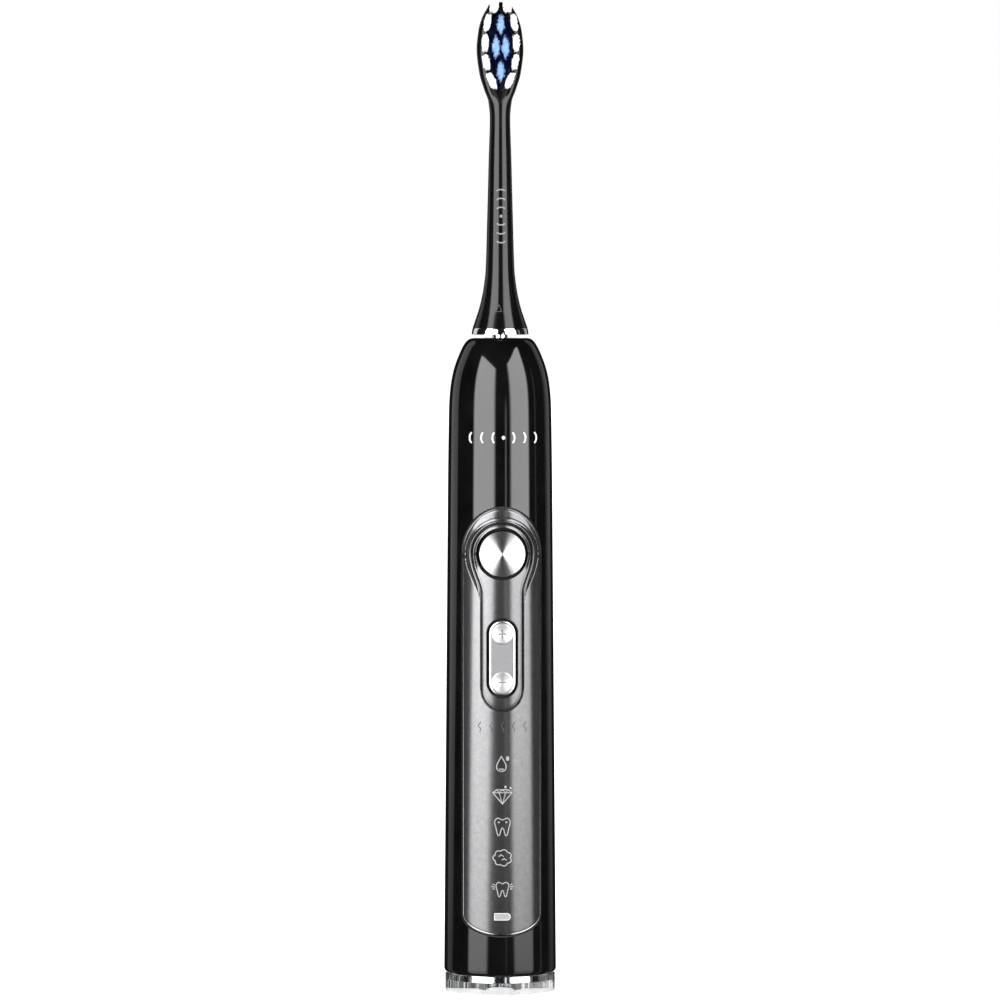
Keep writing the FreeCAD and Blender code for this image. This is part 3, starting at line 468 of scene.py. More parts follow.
def remap(tree, value, to, source=(0.0, 1.0), **settings):
    """Maps one range of values onto another."""
    inputs = {"Value": value, "From Min": source[0], "From Max": source[1], "To Min": to[0], "To Max": to[1]}
    return node(tree, "MapRange", inputs, **settings).outputs["Result"]


def bump(tree, height, strength, microns):
    made = node(tree, "Bump", {"Strength": strength, "Distance": microns * MICRON, "Height": height})
    paint(tree, {"Normal": made.outputs["Normal"]})


def grey(value):
    return (value, value, value * 1.02)


def surface(name, low, high, rough, metallic=0.0, scale=900.0, relief=0, stretch=(1, 1, 1), coat=0.0,
            ior=1.5, detail=3.0):
    """A general material: noise varies two colours and a range of roughness, with relief in microns."""
    mat, tree = new_material(name)
    fac = noise(tree, object_place(tree, stretch), scale, detail)
    paint(tree, {"Base Color": ramp(tree, fac, low, high), "Roughness": remap(tree, fac, rough),
                 "Metallic": metallic, "IOR": ior, "Coat Weight": coat})
    if relief:
        bump(tree, fac, 0.5, relief)
    return mat


def gunmetal_paint():
    """Metallic lacquer: flakes over a finer mottle, with painted shade that makes it a little darker toward
    the right.
    """
    mat, tree = new_material("gunmetal_paint")
    place = object_place(tree)
    flakes = node(tree, "TexVoronoi", {"Vector": place, "Scale": 5200.0}).outputs["Distance"]
    mottle = noise(tree, place, 700.0, 4.0)
    mix = node(tree, "Mix", {0: 0.45, 2: flakes, 3: mottle}).outputs[0]
    colour = ramp(tree, mix, grey(0.11), grey(0.17), 0.2, 0.8)
    half = PAINTED_SHADE_HALF_W * MM
    # Painted shade: the colour is scaled down toward +X, where the right lamp's light is weaker on the panel
    across = remap(tree, object_axes(tree)["X"], (1.0, PAINTED_SHADE_RIGHT), (-half, half))
    shade_darkened = node(tree, "VectorMath", {0: colour, "Scale": across}, operation="SCALE").outputs[0]
    paint(tree, {"Base Color": shade_darkened, "Roughness": remap(tree, mottle, (0.16, 0.2)), "Metallic": 0.88})
    bump(tree, flakes, 0.2, 8)
    return mat


def spun_metal(name, centre_z, stretch):
    """Aluminium turned about Y at that height: fine rings and a highlight stretched across them."""
    mat, tree = new_material(name)
    coords = node(tree, "TexCoord", {}).outputs["Object"]
    middle = node(tree, "VectorMath", {0: coords, 1: (0, 0, centre_z * MM)}, operation="SUBTRACT").outputs[0]
    flat = node(tree, "VectorMath", {0: middle, 1: (1, 0, 1)}, operation="MULTIPLY").outputs[0]
    radius = node(tree, "VectorMath", {0: flat}, operation="LENGTH").outputs["Value"]
    inputs = {"W": radius, "Scale": 9000.0, "Detail": 2.0}
    rings = node(tree, "TexNoise", inputs, noise_dimensions="1D").outputs["Fac"]
    tangent = node(tree, "Tangent", {}, direction_type="RADIAL", axis="Y").outputs["Tangent"]
    paint(tree, {"Base Color": ramp(tree, rings, grey(0.78), grey(0.88)), "Metallic": 1.0,
                 "Roughness": remap(tree, rings, (0.4, 0.44)), "Anisotropic": stretch,
                 "Anisotropic Rotation": 0.25, "Tangent": tangent})
    bump(tree, rings, 0.08, 2)
    return mat


def clear_plastic():
    mat, tree = new_material("clear_plastic")
    fac = noise(tree, object_place(tree), 300.0)
    paint(tree, {"Base Color": ramp(tree, fac, (0.93, 0.95, 0.96), (1.0, 1.0, 1.0)), "IOR": CLEAR_IOR,
                 "Roughness": remap(tree, fac, (0.0, 0.03)), "Transmission Weight": 1.0})
    return mat


def frosted_plastic_painted_glow():
    """The foot's lowest band: the same plastic, milky, with an emitted glow that brings it to the photo's
    white; the glow is painted light, as the band is no lamp.
    """
    mat, tree = new_material("frosted_plastic_painted_glow")
    fac = noise(tree, object_place(tree), 2400.0)
    # Painted light: the white emission makes the band glow by itself
    paint(tree, {"Base Color": ramp(tree, fac, (0.9, 0.92, 0.93), (0.97, 0.97, 0.97)), "IOR": CLEAR_IOR,
                 "Roughness": remap(tree, fac, (0.4, 0.55)), "Transmission Weight": 0.15,
                 "Emission Color": (1, 1, 1, 1), "Emission Strength": FROST_PAINTED_GLOW})
    bump(tree, fac, 0.3, 10)
    return mat


def nylon(name, root, tip, y_root, y_tip, spread, gloss=0.5):
    """Bristle filaments, from the root's colour to the tip's colour along their length; for the white and
    blue ones the darker root colour is painted shade deep in the tufts.
    """
    mat, tree = new_material(name)
    # Position along Y picks the colour: for white and blue filaments the darker end is painted shade inside
    # the tufts
    along = remap(tree, object_axes(tree)["Y"], (0.0, 1.0), (y_root * MM, y_tip * MM))
    grain = noise(tree, object_place(tree, (1, 0.02, 1)), 3200.0, 1.0)
    mixed = node(tree, "Math", {0: grain, 1: spread, 2: along}, operation="MULTIPLY_ADD").outputs[0]
    paint(tree, {"Base Color": ramp(tree, mixed, root, tip, 0.1, 0.95), "Specular IOR Level": gloss,
                 "Roughness": remap(tree, grain, (0.22, 0.38)), "Subsurface Weight": 0.2,
                 "Subsurface Radius": (0.6 * MM,) * 3})
    return mat


def copper_winding():
    """Wound wire: fine rings along Z."""
    mat, tree = new_material("copper_winding")
    inputs = {"Vector": object_place(tree), "Scale": 1 / (WIRE_PITCH * MICRON), "Distortion": 0.6}
    wave = node(tree, "TexWave", inputs, bands_direction="Z").outputs["Fac"]
    paint(tree, {"Base Color": ramp(tree, wave, (0.42, 0.15, 0.05), (0.85, 0.42, 0.2)), "Metallic": 0.9,
                 "Roughness": 0.35})
    bump(tree, wave, 0.8, 0.1 * WIRE_PITCH)
    return mat


def board_mask():
    """Green solder mask over a pattern of tracks."""
    mat, tree = new_material("board_mask")
    brick = node(tree, "TexBrick", {
        "Vector": object_place(tree, turn=(math.pi / 2, 0, 0)), "Scale": 420.0, "Mortar Size": 0.03,
        "Color1": (0.005, 0.10, 0.04, 1), "Color2": (0.008, 0.13, 0.05, 1), "Mortar": (0.04, 0.26, 0.11, 1)})
    paint(tree, {"Base Color": brick.outputs["Color"], "Roughness": 0.3})
    bump(tree, brick.outputs["Fac"], 0.4, 20)
    return mat


GLOSS = surface("gloss_black", grey(0.0015), grey(0.003), (0.05, 0.08), scale=120.0, detail=2.0)
STEM_GLOSS = surface("soft_gloss_black", grey(0.0015), grey(0.003), (0.11, 0.15), scale=120.0, detail=2.0,
                     ior=1.38)
GUNMETAL = gunmetal_paint()
CHROME = surface("bright_chrome", grey(0.78), grey(0.9), (0.05, 0.1), 1.0, 500.0)
SATIN_CHROME = surface("satin_chrome", grey(0.6), grey(0.8), (0.18, 0.28), 1.0, 1500.0, 4)
STEEL = surface("ground_steel", grey(0.62), grey(0.78), (0.1, 0.2), 1.0, 400.0, 4, (1, 1, 12))
SPUN = spun_metal("spun_metal", POWER_Z, 1.0)
SILVER = surface("satin_silver", grey(0.23), grey(0.27), (0.42, 0.5), 0.7, 2600.0, 3)
# Near-black metal for the power button's rim: painted shade
PAINTED_SHADE_RIM = surface("painted_shade_rim", grey(0.03), grey(0.05), (0.25, 0.35), 1.0, 1500.0)
MARK = surface("pad_mark", grey(0.1), grey(0.14), (0.4, 0.5), scale=1800.0)
EDGE = surface("polished_edge", grey(0.15), grey(0.2), (0.14, 0.2), 1.0, 1500.0)
CLEAR = clear_plastic()
FROSTED = frosted_plastic_painted_glow()
ICON = surface("icon_light", grey(0.17), grey(0.23), (0.35, 0.5), scale=1800.0)
PALE_ICON = surface("pale_icon", grey(0.36), grey(0.46), (0.4, 0.5), scale=1800.0)
FAINT_ICON = surface("faint_icon", grey(0.025), grey(0.035), (0.4, 0.5), scale=1800.0)
NECK_ICON = surface("neck_icon", grey(0.11), grey(0.15), (0.4, 0.5), scale=1800.0)
RUBBER = surface("black_rubber", grey(0.008), grey(0.02), (0.55, 0.75), 0.0, 2500.0, 10)
BLACK_PLASTIC = surface("black_plastic", grey(0.012), grey(0.03), (0.35, 0.5), 0.0, 1800.0, 10)
WHITE_PLASTIC = surface("white_plastic", (0.66, 0.66, 0.63), (0.78, 0.78, 0.75), (0.35, 0.5), 0.0, 1200.0, 8)
NICKEL = surface("nickel_strip", (0.5, 0.48, 0.43), (0.68, 0.66, 0.6), (0.2, 0.35), 1.0, 900.0, 4, (1, 6, 1))
BRONZE = surface("sintered_bronze", (0.35, 0.2, 0.09), (0.6, 0.38, 0.18), (0.4, 0.6), 1.0, 4500.0, 20)
BRASS = surface("brass_pin", (0.6, 0.42, 0.16), (0.85, 0.66, 0.32), (0.2, 0.3), 1.0, 2500.0)
FERRITE = surface("ferrite", grey(0.03), grey(0.07), (0.5, 0.7), 0.0, 3500.0, 10)
MAGNET = surface("plated_magnet", grey(0.4), grey(0.58), (0.2, 0.35), 1.0, 1400.0, 6, (1, 1, 8))
SLEEVE = surface("cell_sleeve", (0.015, 0.12, 0.3), (0.03, 0.2, 0.42), (0.2, 0.3), scale=260.0, coat=0.3)
FOAM = surface("foam_pad", grey(0.02), grey(0.07), (0.8, 0.95), 0.0, 3200.0, 80)
COPPER = copper_winding()
BOARD = board_mask()
BRISTLE = {
    # White and blue: their own colour at the tips, with a darker root colour as painted shade deep in the
    # tufts and on the blue tufts' shorter edge filaments
    "white": nylon("bristle_white", (0.62, 0.66, 0.74), (0.95, 0.96, 0.97), 0.0, -11.5, 0.15),
    "blue": nylon("bristle_blue", (0.03, 0.14, 0.5), (0.4, 0.62, 0.88), -10.75, -11.3, 0.35),
    "navy": nylon("bristle_navy", (0.0004, 0.0006, 0.002), (0.002, 0.006, 0.05), -11.0, -8.0, 0.7, 0.1),
}

SLOT_MATERIALS = {
    "black_gloss": GLOSS, "gunmetal": GUNMETAL, "spun_aluminium": SPUN, "bright_chrome": CHROME,
    "black_rubber": RUBBER, "clear_plastic": CLEAR, "window_white": WHITE_PLASTIC,
    "white_plastic": WHITE_PLASTIC, "black_plastic": BLACK_PLASTIC, "polished_steel": STEEL,
    "board_green": BOARD, "copper_wire": COPPER, "ferrite": FERRITE, "nickel": NICKEL,
    "cell_sleeve": SLEEVE, "magnet": MAGNET, "brass_pin": BRASS, "bronze": BRONZE, "foam": FOAM,
    "bristle_white": BRISTLE["white"], "bristle_blue": BRISTLE["blue"], "bristle_navy": BRISTLE["navy"],
}


def dress_cad_nodes():
    """Every CAD node gets the material of its slot."""
    for part in frame["record"]["subparts"]:
        obj = frame["nodes"][part["node"]]
        obj.data.materials.clear()
        obj.data.materials.append(SLOT_MATERIALS[part["material_slot"]])


# Handle

FINE_STEP = 0.2
BACK_STEP_DEG = 2.5
FRONT_DEG = 56.0
FINE_LOW = PANEL_LOW[2] - 1.0
FINE_HIGH = PANEL_HIGH[2] + 1.2
LOW_STEP = 0.6
HIGH_STEP = 0.8
DROP_ROWS = 30
FLAT_SIDE_DEG = 50.0
FLAT_FADE_DEG = 20.0


def shell_rows():
    """The shell's outside and inside outlines, row by row: radii and heights."""
    edge = [(BASE_R + 0.01 - EDGE_R + EDGE_R * math.sin(a), BOTTOM_Z + EDGE_R - EDGE_R * math.cos(a))
            for a in np.linspace(0, math.pi / 2, 7)]
    outer = [(r, z, BORE_R, z) for r, z in edge]
    for z in np.arange(BOTTOM_Z + EDGE_R + 0.5, FINE_LOW - 0.2, LOW_STEP):
        outer.append((straight_radius(z), z, BORE_R, z))
    for z in np.arange(FINE_LOW, FINE_HIGH, FINE_STEP):
        inner = BORE_R if z < BORE_TOP_Z else straight_radius(z) - WALL
        outer.append((straight_radius(z), z, inner, z))
    for z in np.arange(FINE_HIGH + 0.6, SHOULDER_Z - 0.3, HIGH_STEP):
        outer.append((straight_radius(z), z, straight_radius(z) - WALL, z))
    for i, (r, z) in enumerate(SHOULDER_CURVE):
        outer.append((r, z, r - WALL, z - WALL * min(1.0, i / DROP_ROWS)))
    for t in np.linspace(0, 1, 6)[1:]:
        outer.append((TOP_R + t * (SEAL_HOLE_R - TOP_R), TOP_Z,
                      TOP_R - WALL + t * (SEAL_HOLE_R - TOP_R + WALL), TOP_Z - WALL))
    return np.array(outer)


def sd_recess(x, z):
    return sd_panel(x, z) - GASKET_W


def sd_button_holes(x, z):
    return np.minimum(sd_power(x, z) - POWER_GAP, sd_rocker(x, z) - ROCKER_GAP)


def shell_angles():
    """Angles round the handle from the front: close together in front, wide apart behind."""
    front = np.radians(np.arange(-FRONT_DEG, FRONT_DEG + 0.01, math.degrees(FINE_STEP / BASE_R)))
    back_count = int((360 - 2 * FRONT_DEG) / BACK_STEP_DEG)
    back = np.radians(np.linspace(math.degrees(front[-1]), 360 - FRONT_DEG, back_count + 1)[1:-1])
    return np.concatenate([front, back])


def snap_to_outlines(x, z, fine):
    """Moves fine grid points onto the recess and the button holes. Returns points and two masks."""
    masks = []
    for field in (sd_recess, sd_button_holes):
        sx, sz, on = snap_to_levels(x, z, field, [0.0], FINE_STEP)
        masks.append(on & fine)
        x, z = np.where(masks[-1], sx, x), np.where(masks[-1], sz, z)
    return x, z, masks


def shell_layers(x, z, rows, phi, is_front, fine):
    """The shell's points: its skin, the floor of the recess and the inside."""
    outer_r, outer_z, inner_r, inner_z = (column[:, None] for column in rows.T)
    sign = np.where(np.cos(phi) > 0, -1.0, 1.0)[None, :]
    radius = np.where(fine, straight_radius(z), outer_r)
    y_outer = sign * np.sqrt(np.maximum(radius ** 2 - x ** 2, 0))
    y_floor = -np.sqrt(np.maximum((radius - PANEL_T) ** 2 - x ** 2, 0))
    from_front = np.abs(np.degrees(np.where(phi > math.pi, phi - 2 * math.pi, phi)))
    planar = smooth_step((FLAT_SIDE_DEG - from_front) / FLAT_FADE_DEG)[None, :]
    round_x = inner_r * np.sin(phi)[None, :]
    x_in = np.where(is_front, x * planar + round_x * (1 - planar), round_x)
    y_in = sign * np.sqrt(np.maximum(inner_r ** 2 - x_in ** 2, 0))
    z_in = inner_z + np.where(fine, z - outer_z, 0)
    layers = [(x, y_outer, z), (x, y_floor, z), (x_in, y_in, z_in)]
    return np.concatenate([np.stack(layer, -1).reshape(-1, 3) for layer in layers])


def shell_faces(x, z, fine, on_recess, on_hole):
    """The triangles of the three layers and of the walls that join them."""
    count = x.size
    index = np.arange(count).reshape(x.shape)
    beside = np.roll(index, -1, axis=1)
    tris = split_squares((index[:-1], beside[:-1], beside[1:], index[1:]), (on_recess | on_hole).ravel())
    mx, mz = x.ravel()[tris].mean(1), z.ravel()[tris].mean(1)
    in_front = fine.ravel()[tris].all(1)
    in_recess = in_front & (sd_recess(mx, mz) < 0)
    in_hole = in_front & (sd_button_holes(mx, mz) < 0)
    skin, base = tris[~in_recess], tris[in_recess & ~in_hole]
    faces = [skin, base + count, tris[~in_hole][:, ::-1] + 2 * count]
    for sheet, outline, upper, lower in ((skin, on_recess, 0, count), (base, on_hole, count, 2 * count)):
        rim = rim_edges(sheet)
        faces += wall_faces(rim[outline.ravel()[rim].all(1)], upper, lower)
    for rim in ((index[0], beside[0]), (beside[-1], index[-1])):
        faces += wall_faces(np.stack(rim, 1), 0, 2 * count)
    return np.concatenate(faces)


def make_shell():
    """The black housing, with the recess for the panel and the two openings for the buttons."""
    rows, phi = shell_rows(), shell_angles()
    row_z = rows[:, 1][:, None]
    x = rows[:, 0][:, None] * np.sin(phi)[None, :]
    z = np.broadcast_to(row_z, x.shape).copy()
    is_front = np.cos(phi)[None, :] > math.cos(math.radians(FRONT_DEG)) - 1e-9
    fine = is_front & (row_z > FINE_LOW - FINE_STEP / 4) & (row_z < FINE_HIGH + FINE_STEP / 4)
    x, z, (on_recess, on_hole) = snap_to_outlines(x, z, fine)
    verts = shell_layers(x, z, rows, phi, is_front, fine)
    used, faces = np.unique(shell_faces(x, z, fine, on_recess, on_hole), return_inverse=True)
    obj = mesh_object("housing", verts[used], faces.reshape(-1, 3), 32)
    finish(obj, "handle", "black_gloss", GLOSS, "handle_shell")


def on_front(inset):
    """A surface on the handle's front, at one depth inside it."""
    return lambda x, z: front_points(x, z, inset)


def front_surface(inset_of):
    """A surface on the handle's front, inset by a function of (x, z)."""
    return lambda x, z: front_points(x, z, inset_of(x, z))


PANEL_SPLIT = 0.03
PANEL_EDGE = 0.24
EDGE_GROOVE = 0.5
EDGE_GROOVE_W = 0.14


def sd_panel_piece(x, z):
    return np.maximum(sd_panel(x, z), PANEL_SPLIT - sd_keyhole(x, z))


def panel_relief(x, z):
    """A rounded edge with a fine groove inside it, and a small round where the panel meets the surround."""
    edge = sd_panel(x, z)
    groove = 0.06 * np.exp(-((edge + EDGE_GROOVE) / EDGE_GROOVE_W) ** 2)
    inner_edge = bevel_inset(PANEL_SPLIT - sd_keyhole(x, z), 0.15, 0.08)
    return bevel_inset(edge, PANEL_EDGE, 0.16) + groove + inner_edge


def make_panel():
    """The grey inlay, with a rounded edge all round, polished below the power button's middle."""
    box = (-PANEL_HALF_W - 0.4, PANEL_HALF_W + 0.4, PANEL_LOW[2] - 0.4, PANEL_HIGH[2] + 0.4)
    levels = [0.0, -0.08, -0.16, -PANEL_EDGE, -0.38, -EDGE_GROOVE]
    obj = slab("control_panel_face", sd_panel_piece, box, 0.12, levels, front_surface(panel_relief),
               on_front(PANEL_T), 50)
    finish(obj, "handle", "gunmetal", GUNMETAL, "control_panel")
    paint_faces(obj, EDGE, lambda x, y, z: (sd_panel(x, z) > -EDGE_GROOVE) & (z < POWER_Z))
    ring = lambda x, z: np.maximum(sd_panel(x, z) - GASKET_W + 0.02, 0.02 - sd_panel(x, z))
    box = (box[0] - 0.3, box[1] + 0.3, box[2] - 0.3, box[3] + 0.3)
    obj = slab("panel_gasket_strip", ring, box, 0.15, [0.0], on_front(0.4), on_front(PANEL_T), 60)
    finish(obj, "handle", "black_rubber", RUBBER, "panel_gasket")


def sd_bezel_piece(x, z):
    return np.maximum(sd_keyhole(x, z), -sd_button_holes(x, z))


GROOVE_R = 7.05
GROOVE_HALF_W = 5.12
GROOVE_BLEND = 4.0
# The surround's relief: depths of its two levels, and each form's size, place and width
SUNK_DEPTH, LAND_DEPTH = 0.12, 0.28
RIDGE_H, RIDGE_AT, RIDGE_W = 0.26, 0.75, 0.42
CUT_DEPTH, CUT_W = 0.5, 0.2
LINE_DEPTH, LINE_AT, LINE_BREADTH = 0.05, 0.62, 0.1
BEVEL_DEPTH, BEVEL_W = 0.3, 0.18
FALL_SLOPE, FALL_REACH = 0.2, 1.2


def sd_groove(x, z):
    """The line of the dark groove: close round the power button, at the surround's edge below it."""
    head = sd_circle(x, z, 0, POWER_Z, GROOVE_R)
    slot = sd_segment(x, z, (0, KEYHOLE_FOOT_Z), (0, POWER_Z)) - GROOVE_HALF_W
    return round_union(head, slot, GROOVE_BLEND)


def bezel_relief(x, z):
    """A ridge outside a narrow dark groove; inside it a sunk floor, a fine line and bevelled openings.

    Round the power button the floor also falls away from the hole.
    """
    groove = sd_groove(x, z)
    hole = sd_button_holes(x, z)
    outside = smooth_step(groove / 0.25)
    ridge = RIDGE_H * np.exp(-((groove - RIDGE_AT) / RIDGE_W) ** 2)
    cut = CUT_DEPTH * np.exp(-(np.abs(groove) / CUT_W) ** 3)
    line = LINE_DEPTH * np.exp(-((groove + LINE_AT) / LINE_BREADTH) ** 2)
    bevel = BEVEL_DEPTH * (1 - smooth_step(hole / BEVEL_W))
    fall = FALL_SLOPE * np.clip(hole, 0, FALL_REACH) * smooth_step((z - POWER_Z + 5.0) / 3.0)
    inside = SUNK_DEPTH + fall + line + bevel
    return inside * (1 - outside) + (LAND_DEPTH - ridge) * outside + cut


def make_bezel():
    box = (-KEYHOLE_R - 0.3, KEYHOLE_R + 0.3, BEZEL_LOW[2] - 0.3, POWER_Z + KEYHOLE_R + 0.3)
    obj = slab("keyhole_surround", sd_bezel_piece, box, 0.09, [0.0], front_surface(bezel_relief),
               on_front(PANEL_T), 60)
    finish(obj, "handle", "gunmetal", GUNMETAL, "button_bezel")


# Buttons

def make_power_button():
    """A dished disc with a bevelled rim painted near-black, as painted shade at the button's edge."""
    front, back = POWER_LOW[1], POWER_HIGH[1]
    rim = 0.32
    dish_r = POWER_R - rim
    outline = [(0, front + 0.3)]
    outline += [(r, front + 0.3 - 0.28 * (r / dish_r) ** 1.5) for r in np.linspace(0.3, dish_r, 16)]
    outline += [(dish_r + 0.08, front), (POWER_R - 0.12, front + 0.1), (POWER_R - 0.03, front + 0.2),
                (POWER_R, front + 0.34), (POWER_R, back), (0, back)]
    obj = lathe("power_button_face", outline, 160, 25, "Y", (0, 0, POWER_Z))
    finish(obj, "power_button", "spun_aluminium", SPUN, "power_button_cap")
    # Painted shade: the rim outside the dish gets near-black metal, for the dark band round the button
    paint_faces(obj, PAINTED_SHADE_RIM, lambda x, y, z: np.hypot(x, z - POWER_Z) > dish_r + 0.1)


PAD_R = 2.62
PAD_ZS = (ROCKER_Z + ROCKER_RUN, ROCKER_Z - ROCKER_RUN)
ROCKER_FLOOR_Y = -13.08
PAD_FRONT_Y = -13.3
PAD_BACK_Y = -12.9
PAD_DISH = 0.12
MARK_REACH = 1.0
MARK_W = 0.36
ROCKER_RIM = 0.5


def rocker_front(x, z):
    """A rim that follows the handle's curve, round a flat sunk floor."""
    deep = -sd_rocker(x, z)
    r = ROCKER_R - bevel_inset(-deep, 0.3, 0.25)
    rim_y = -np.sqrt(np.maximum(r ** 2 - x ** 2, 0))
    inner = smooth_step((deep - ROCKER_RIM) / 0.14)
    return np.stack([x, rim_y * (1 - inner) + ROCKER_FLOOR_Y * inner, z], -1)


def make_pad(cz, name, plus):
    """A shallow turned disc with a plus or a minus on it."""
    dish_r = PAD_R - 0.25
    outline = [(0, PAD_FRONT_Y + PAD_DISH)]
    outline += [(r, PAD_FRONT_Y + PAD_DISH * (1 - (r / dish_r) ** 1.4)) for r in np.linspace(0.2, dish_r, 10)]
    outline += [(PAD_R - 0.08, PAD_FRONT_Y + 0.08), (PAD_R, PAD_FRONT_Y + 0.2), (PAD_R, PAD_BACK_Y),
                (0, PAD_BACK_Y)]
    disc = lathe("rocker_pad_" + name, outline, 96, 25, "Y", (0, 0, cz))
    finish(disc, "rocker_button", "spun_aluminium", spun_metal("spun_pad_" + name, cz, 0.5), "rocker_pads")
    strokes = [([(-MARK_REACH, cz), (MARK_REACH, cz)], False, MARK_W)]
    if plus:
        strokes.append(([(0, cz - MARK_REACH), (0, cz + MARK_REACH)], False, MARK_W))
    proud = PAD_FRONT_Y + 0.085
    mark = slab("rocker_mark_" + name, lambda x, z: sd_strokes(x, z, strokes, 0),
                (-1.4, 1.4, cz - 1.4, cz + 1.4), 0.06, [0.0], flat_y(proud), flat_y(proud + 0.15), 50)
    finish(mark, "rocker_button", "spun_aluminium", MARK)


def web_field(x, z):
    web = sd_box(x, z, 0, ROCKER_Z, 1.6, 2.2)
    feet = [sd_circle(x, z, 0, ROCKER_Z + s * 6.4, 1.0) for s in (-1, 1)]
    return np.minimum(web, np.minimum(*feet))


def flat_y(y):
    return lambda x, z: np.stack([x, np.full(np.shape(x), y), z], -1)


def make_rocker():
    box = (-ROCKER_HALF_W - 0.2, ROCKER_HALF_W + 0.2, ROCKER_LOW[2] - 0.2, ROCKER_HIGH[2] + 0.2)
    cap_back = -12.15
    cap = slab("rocker_key", sd_rocker, box, 0.08, [0.0, -0.1, -0.2, -ROCKER_RIM, -ROCKER_RIM - 0.14],
               rocker_front, flat_y(cap_back), 35)
    finish(cap, "rocker_button", "bright_chrome", SATIN_CHROME, "rocker_cap")
    paint_faces(cap, SILVER, lambda x, y, z: sd_rocker(x, z) < -ROCKER_RIM - 0.1)
    make_pad(PAD_ZS[0], "plus", True)
    make_pad(PAD_ZS[1], "minus", False)
    web = slab("rocker_web", web_field, box, 0.15, [0.0], flat_y(cap_back), flat_y(ROCKER_HIGH[1] - 0.7), 50)
    finish(web, "rocker_button", "black_plastic", BLACK_PLASTIC, "rocker_cap")


# Icons

def smooth_loop(points, per_span=6):
    """A closed Catmull-Rom curve through the points."""
    pts = [Vector(p) for p in points]
    n = len(pts)
    loop = []
    for i in range(n):
        p0, p1, p2, p3 = pts[i - 1], pts[i], pts[(i + 1) % n], pts[(i + 2) % n]
        for j in range(per_span):
            t = j / per_span
            q = 0.5 * ((2 * p1) + (p2 - p0) * t + (2 * p0 - 5 * p1 + 4 * p2 - p3) * t * t
                       + (3 * p1 - p0 - 3 * p2 + p3) * t ** 3)
            loop.append((q.x, q.y))
    return loop


def moved(points, dx, dz, scale=1.0):
    return [(x * scale + dx, z * scale + dz) for x, z in points]


def drop_loop(height, width):
    """A water drop with a pointed top."""
    steps = [2 * math.pi * i / 36 for i in range(36)]
    return [(-width / 2 * math.sin(t) * math.sin(t / 2) ** 1.4, height / 2 * math.cos(t)) for t in steps]


def cloud_loop(rx, rz, lobes, swell):
    """A closed cloud with that many bulges."""
    steps = [2 * math.pi * i / 98 for i in range(98)]
    return [(rx * (1 + swell * abs(math.sin(lobes * a / 2))) * math.cos(a),
             rz * (1 + swell * abs(math.sin(lobes * a / 2))) * math.sin(a)) for a in steps]


TOOTH = [(0, 1.75), (1.25, 2.2), (2.05, 1.25), (1.65, -0.5), (1.25, -2.1), (0.75, -2.1), (0.35, -0.75),
         (0, -0.35), (-0.35, -0.75), (-0.75, -2.1), (-1.25, -2.1), (-1.65, -0.5), (-2.05, 1.25), (-1.25, 2.2)]
LINE_W = 0.25


def icon_strokes():
    """Each icon as its height on the handle and its pen strokes: (points, closed, width)."""
    tooth = [(0.94 * x, 0.97 * z) for x, z in smooth_loop(TOOTH)]
    gem_top, gem_mid, gem_foot = 1.35, 0.6, -2.2
    thin = LINE_W * 0.8
    gem = [
        ([(-1.45, gem_top), (1.45, gem_top), (2.35, gem_mid), (0, gem_foot), (-2.35, gem_mid)], True, LINE_W),
        ([(-2.35, gem_mid), (2.35, gem_mid)], False, thin),
        ([(-1.45, gem_top), (-0.8, gem_mid), (0, gem_foot)], False, thin),
        ([(1.45, gem_top), (0.8, gem_mid), (0, gem_foot)], False, thin),
        ([(-0.8, gem_mid), (0, gem_top), (0.8, gem_mid)], False, thin),
        ([(0.75, 2.0), (0.75, 2.05)], False, 0.62),
        ([(2.05, 1.75), (2.05, 1.8)], False, 0.55),
    ]
    sparks = []
    for side in (-1, 1):
        for dz, long in ((0.62, 0.45), (0.08, 0.7), (-0.46, 0.45)):
            sparks.append(([(side * 1.95, dz + 0.5), (side * (1.95 + long), dz + 0.6)], False, LINE_W))
    return {
        59.0: [(moved(drop_loop(3.7, 3.3), -0.25, -0.15), True, LINE_W),
               ([(1.3, 1.0), (1.3, 1.3)], False, 0.8), ([(-0.75, -1.45), (0.25, -1.45)], False, LINE_W)],
        51.1: gem,
        43.3: [(tooth, True, LINE_W), ([(-0.95, 1.1), (-0.85, 1.1)], False, 0.42),
               ([(0.95, 1.1), (1.05, 1.1)], False, 0.42)],
        35.6: [(cloud_loop(1.95, 1.7, 7, 0.2), True, LINE_W),
               ([(-0.9, 0.35), (-0.3, 0.75), (0.25, 0.35)], False, LINE_W * 0.9),
               ([(-0.1, -0.5), (0.5, -0.2), (0.95, -0.55)], False, LINE_W * 0.9)],
        27.8: [(moved(tooth, 0, 0, 0.82), True, LINE_W)] + sparks,
    }


def sd_strokes(x, z, strokes, cz):
    d = np.full(np.shape(x), 1e9)
    for points, closed, width in strokes:
        d = np.minimum(d, sd_line(x, z - cz, points, width, closed))
    return d


ICON_PROUD = 0.012
ICON_STEP = 0.045


def inlay(name, field, box, step=ICON_STEP, deep=0.2):
    return slab(name, field, box, step, [0.0], on_front(-ICON_PROUD), on_front(deep), 40)


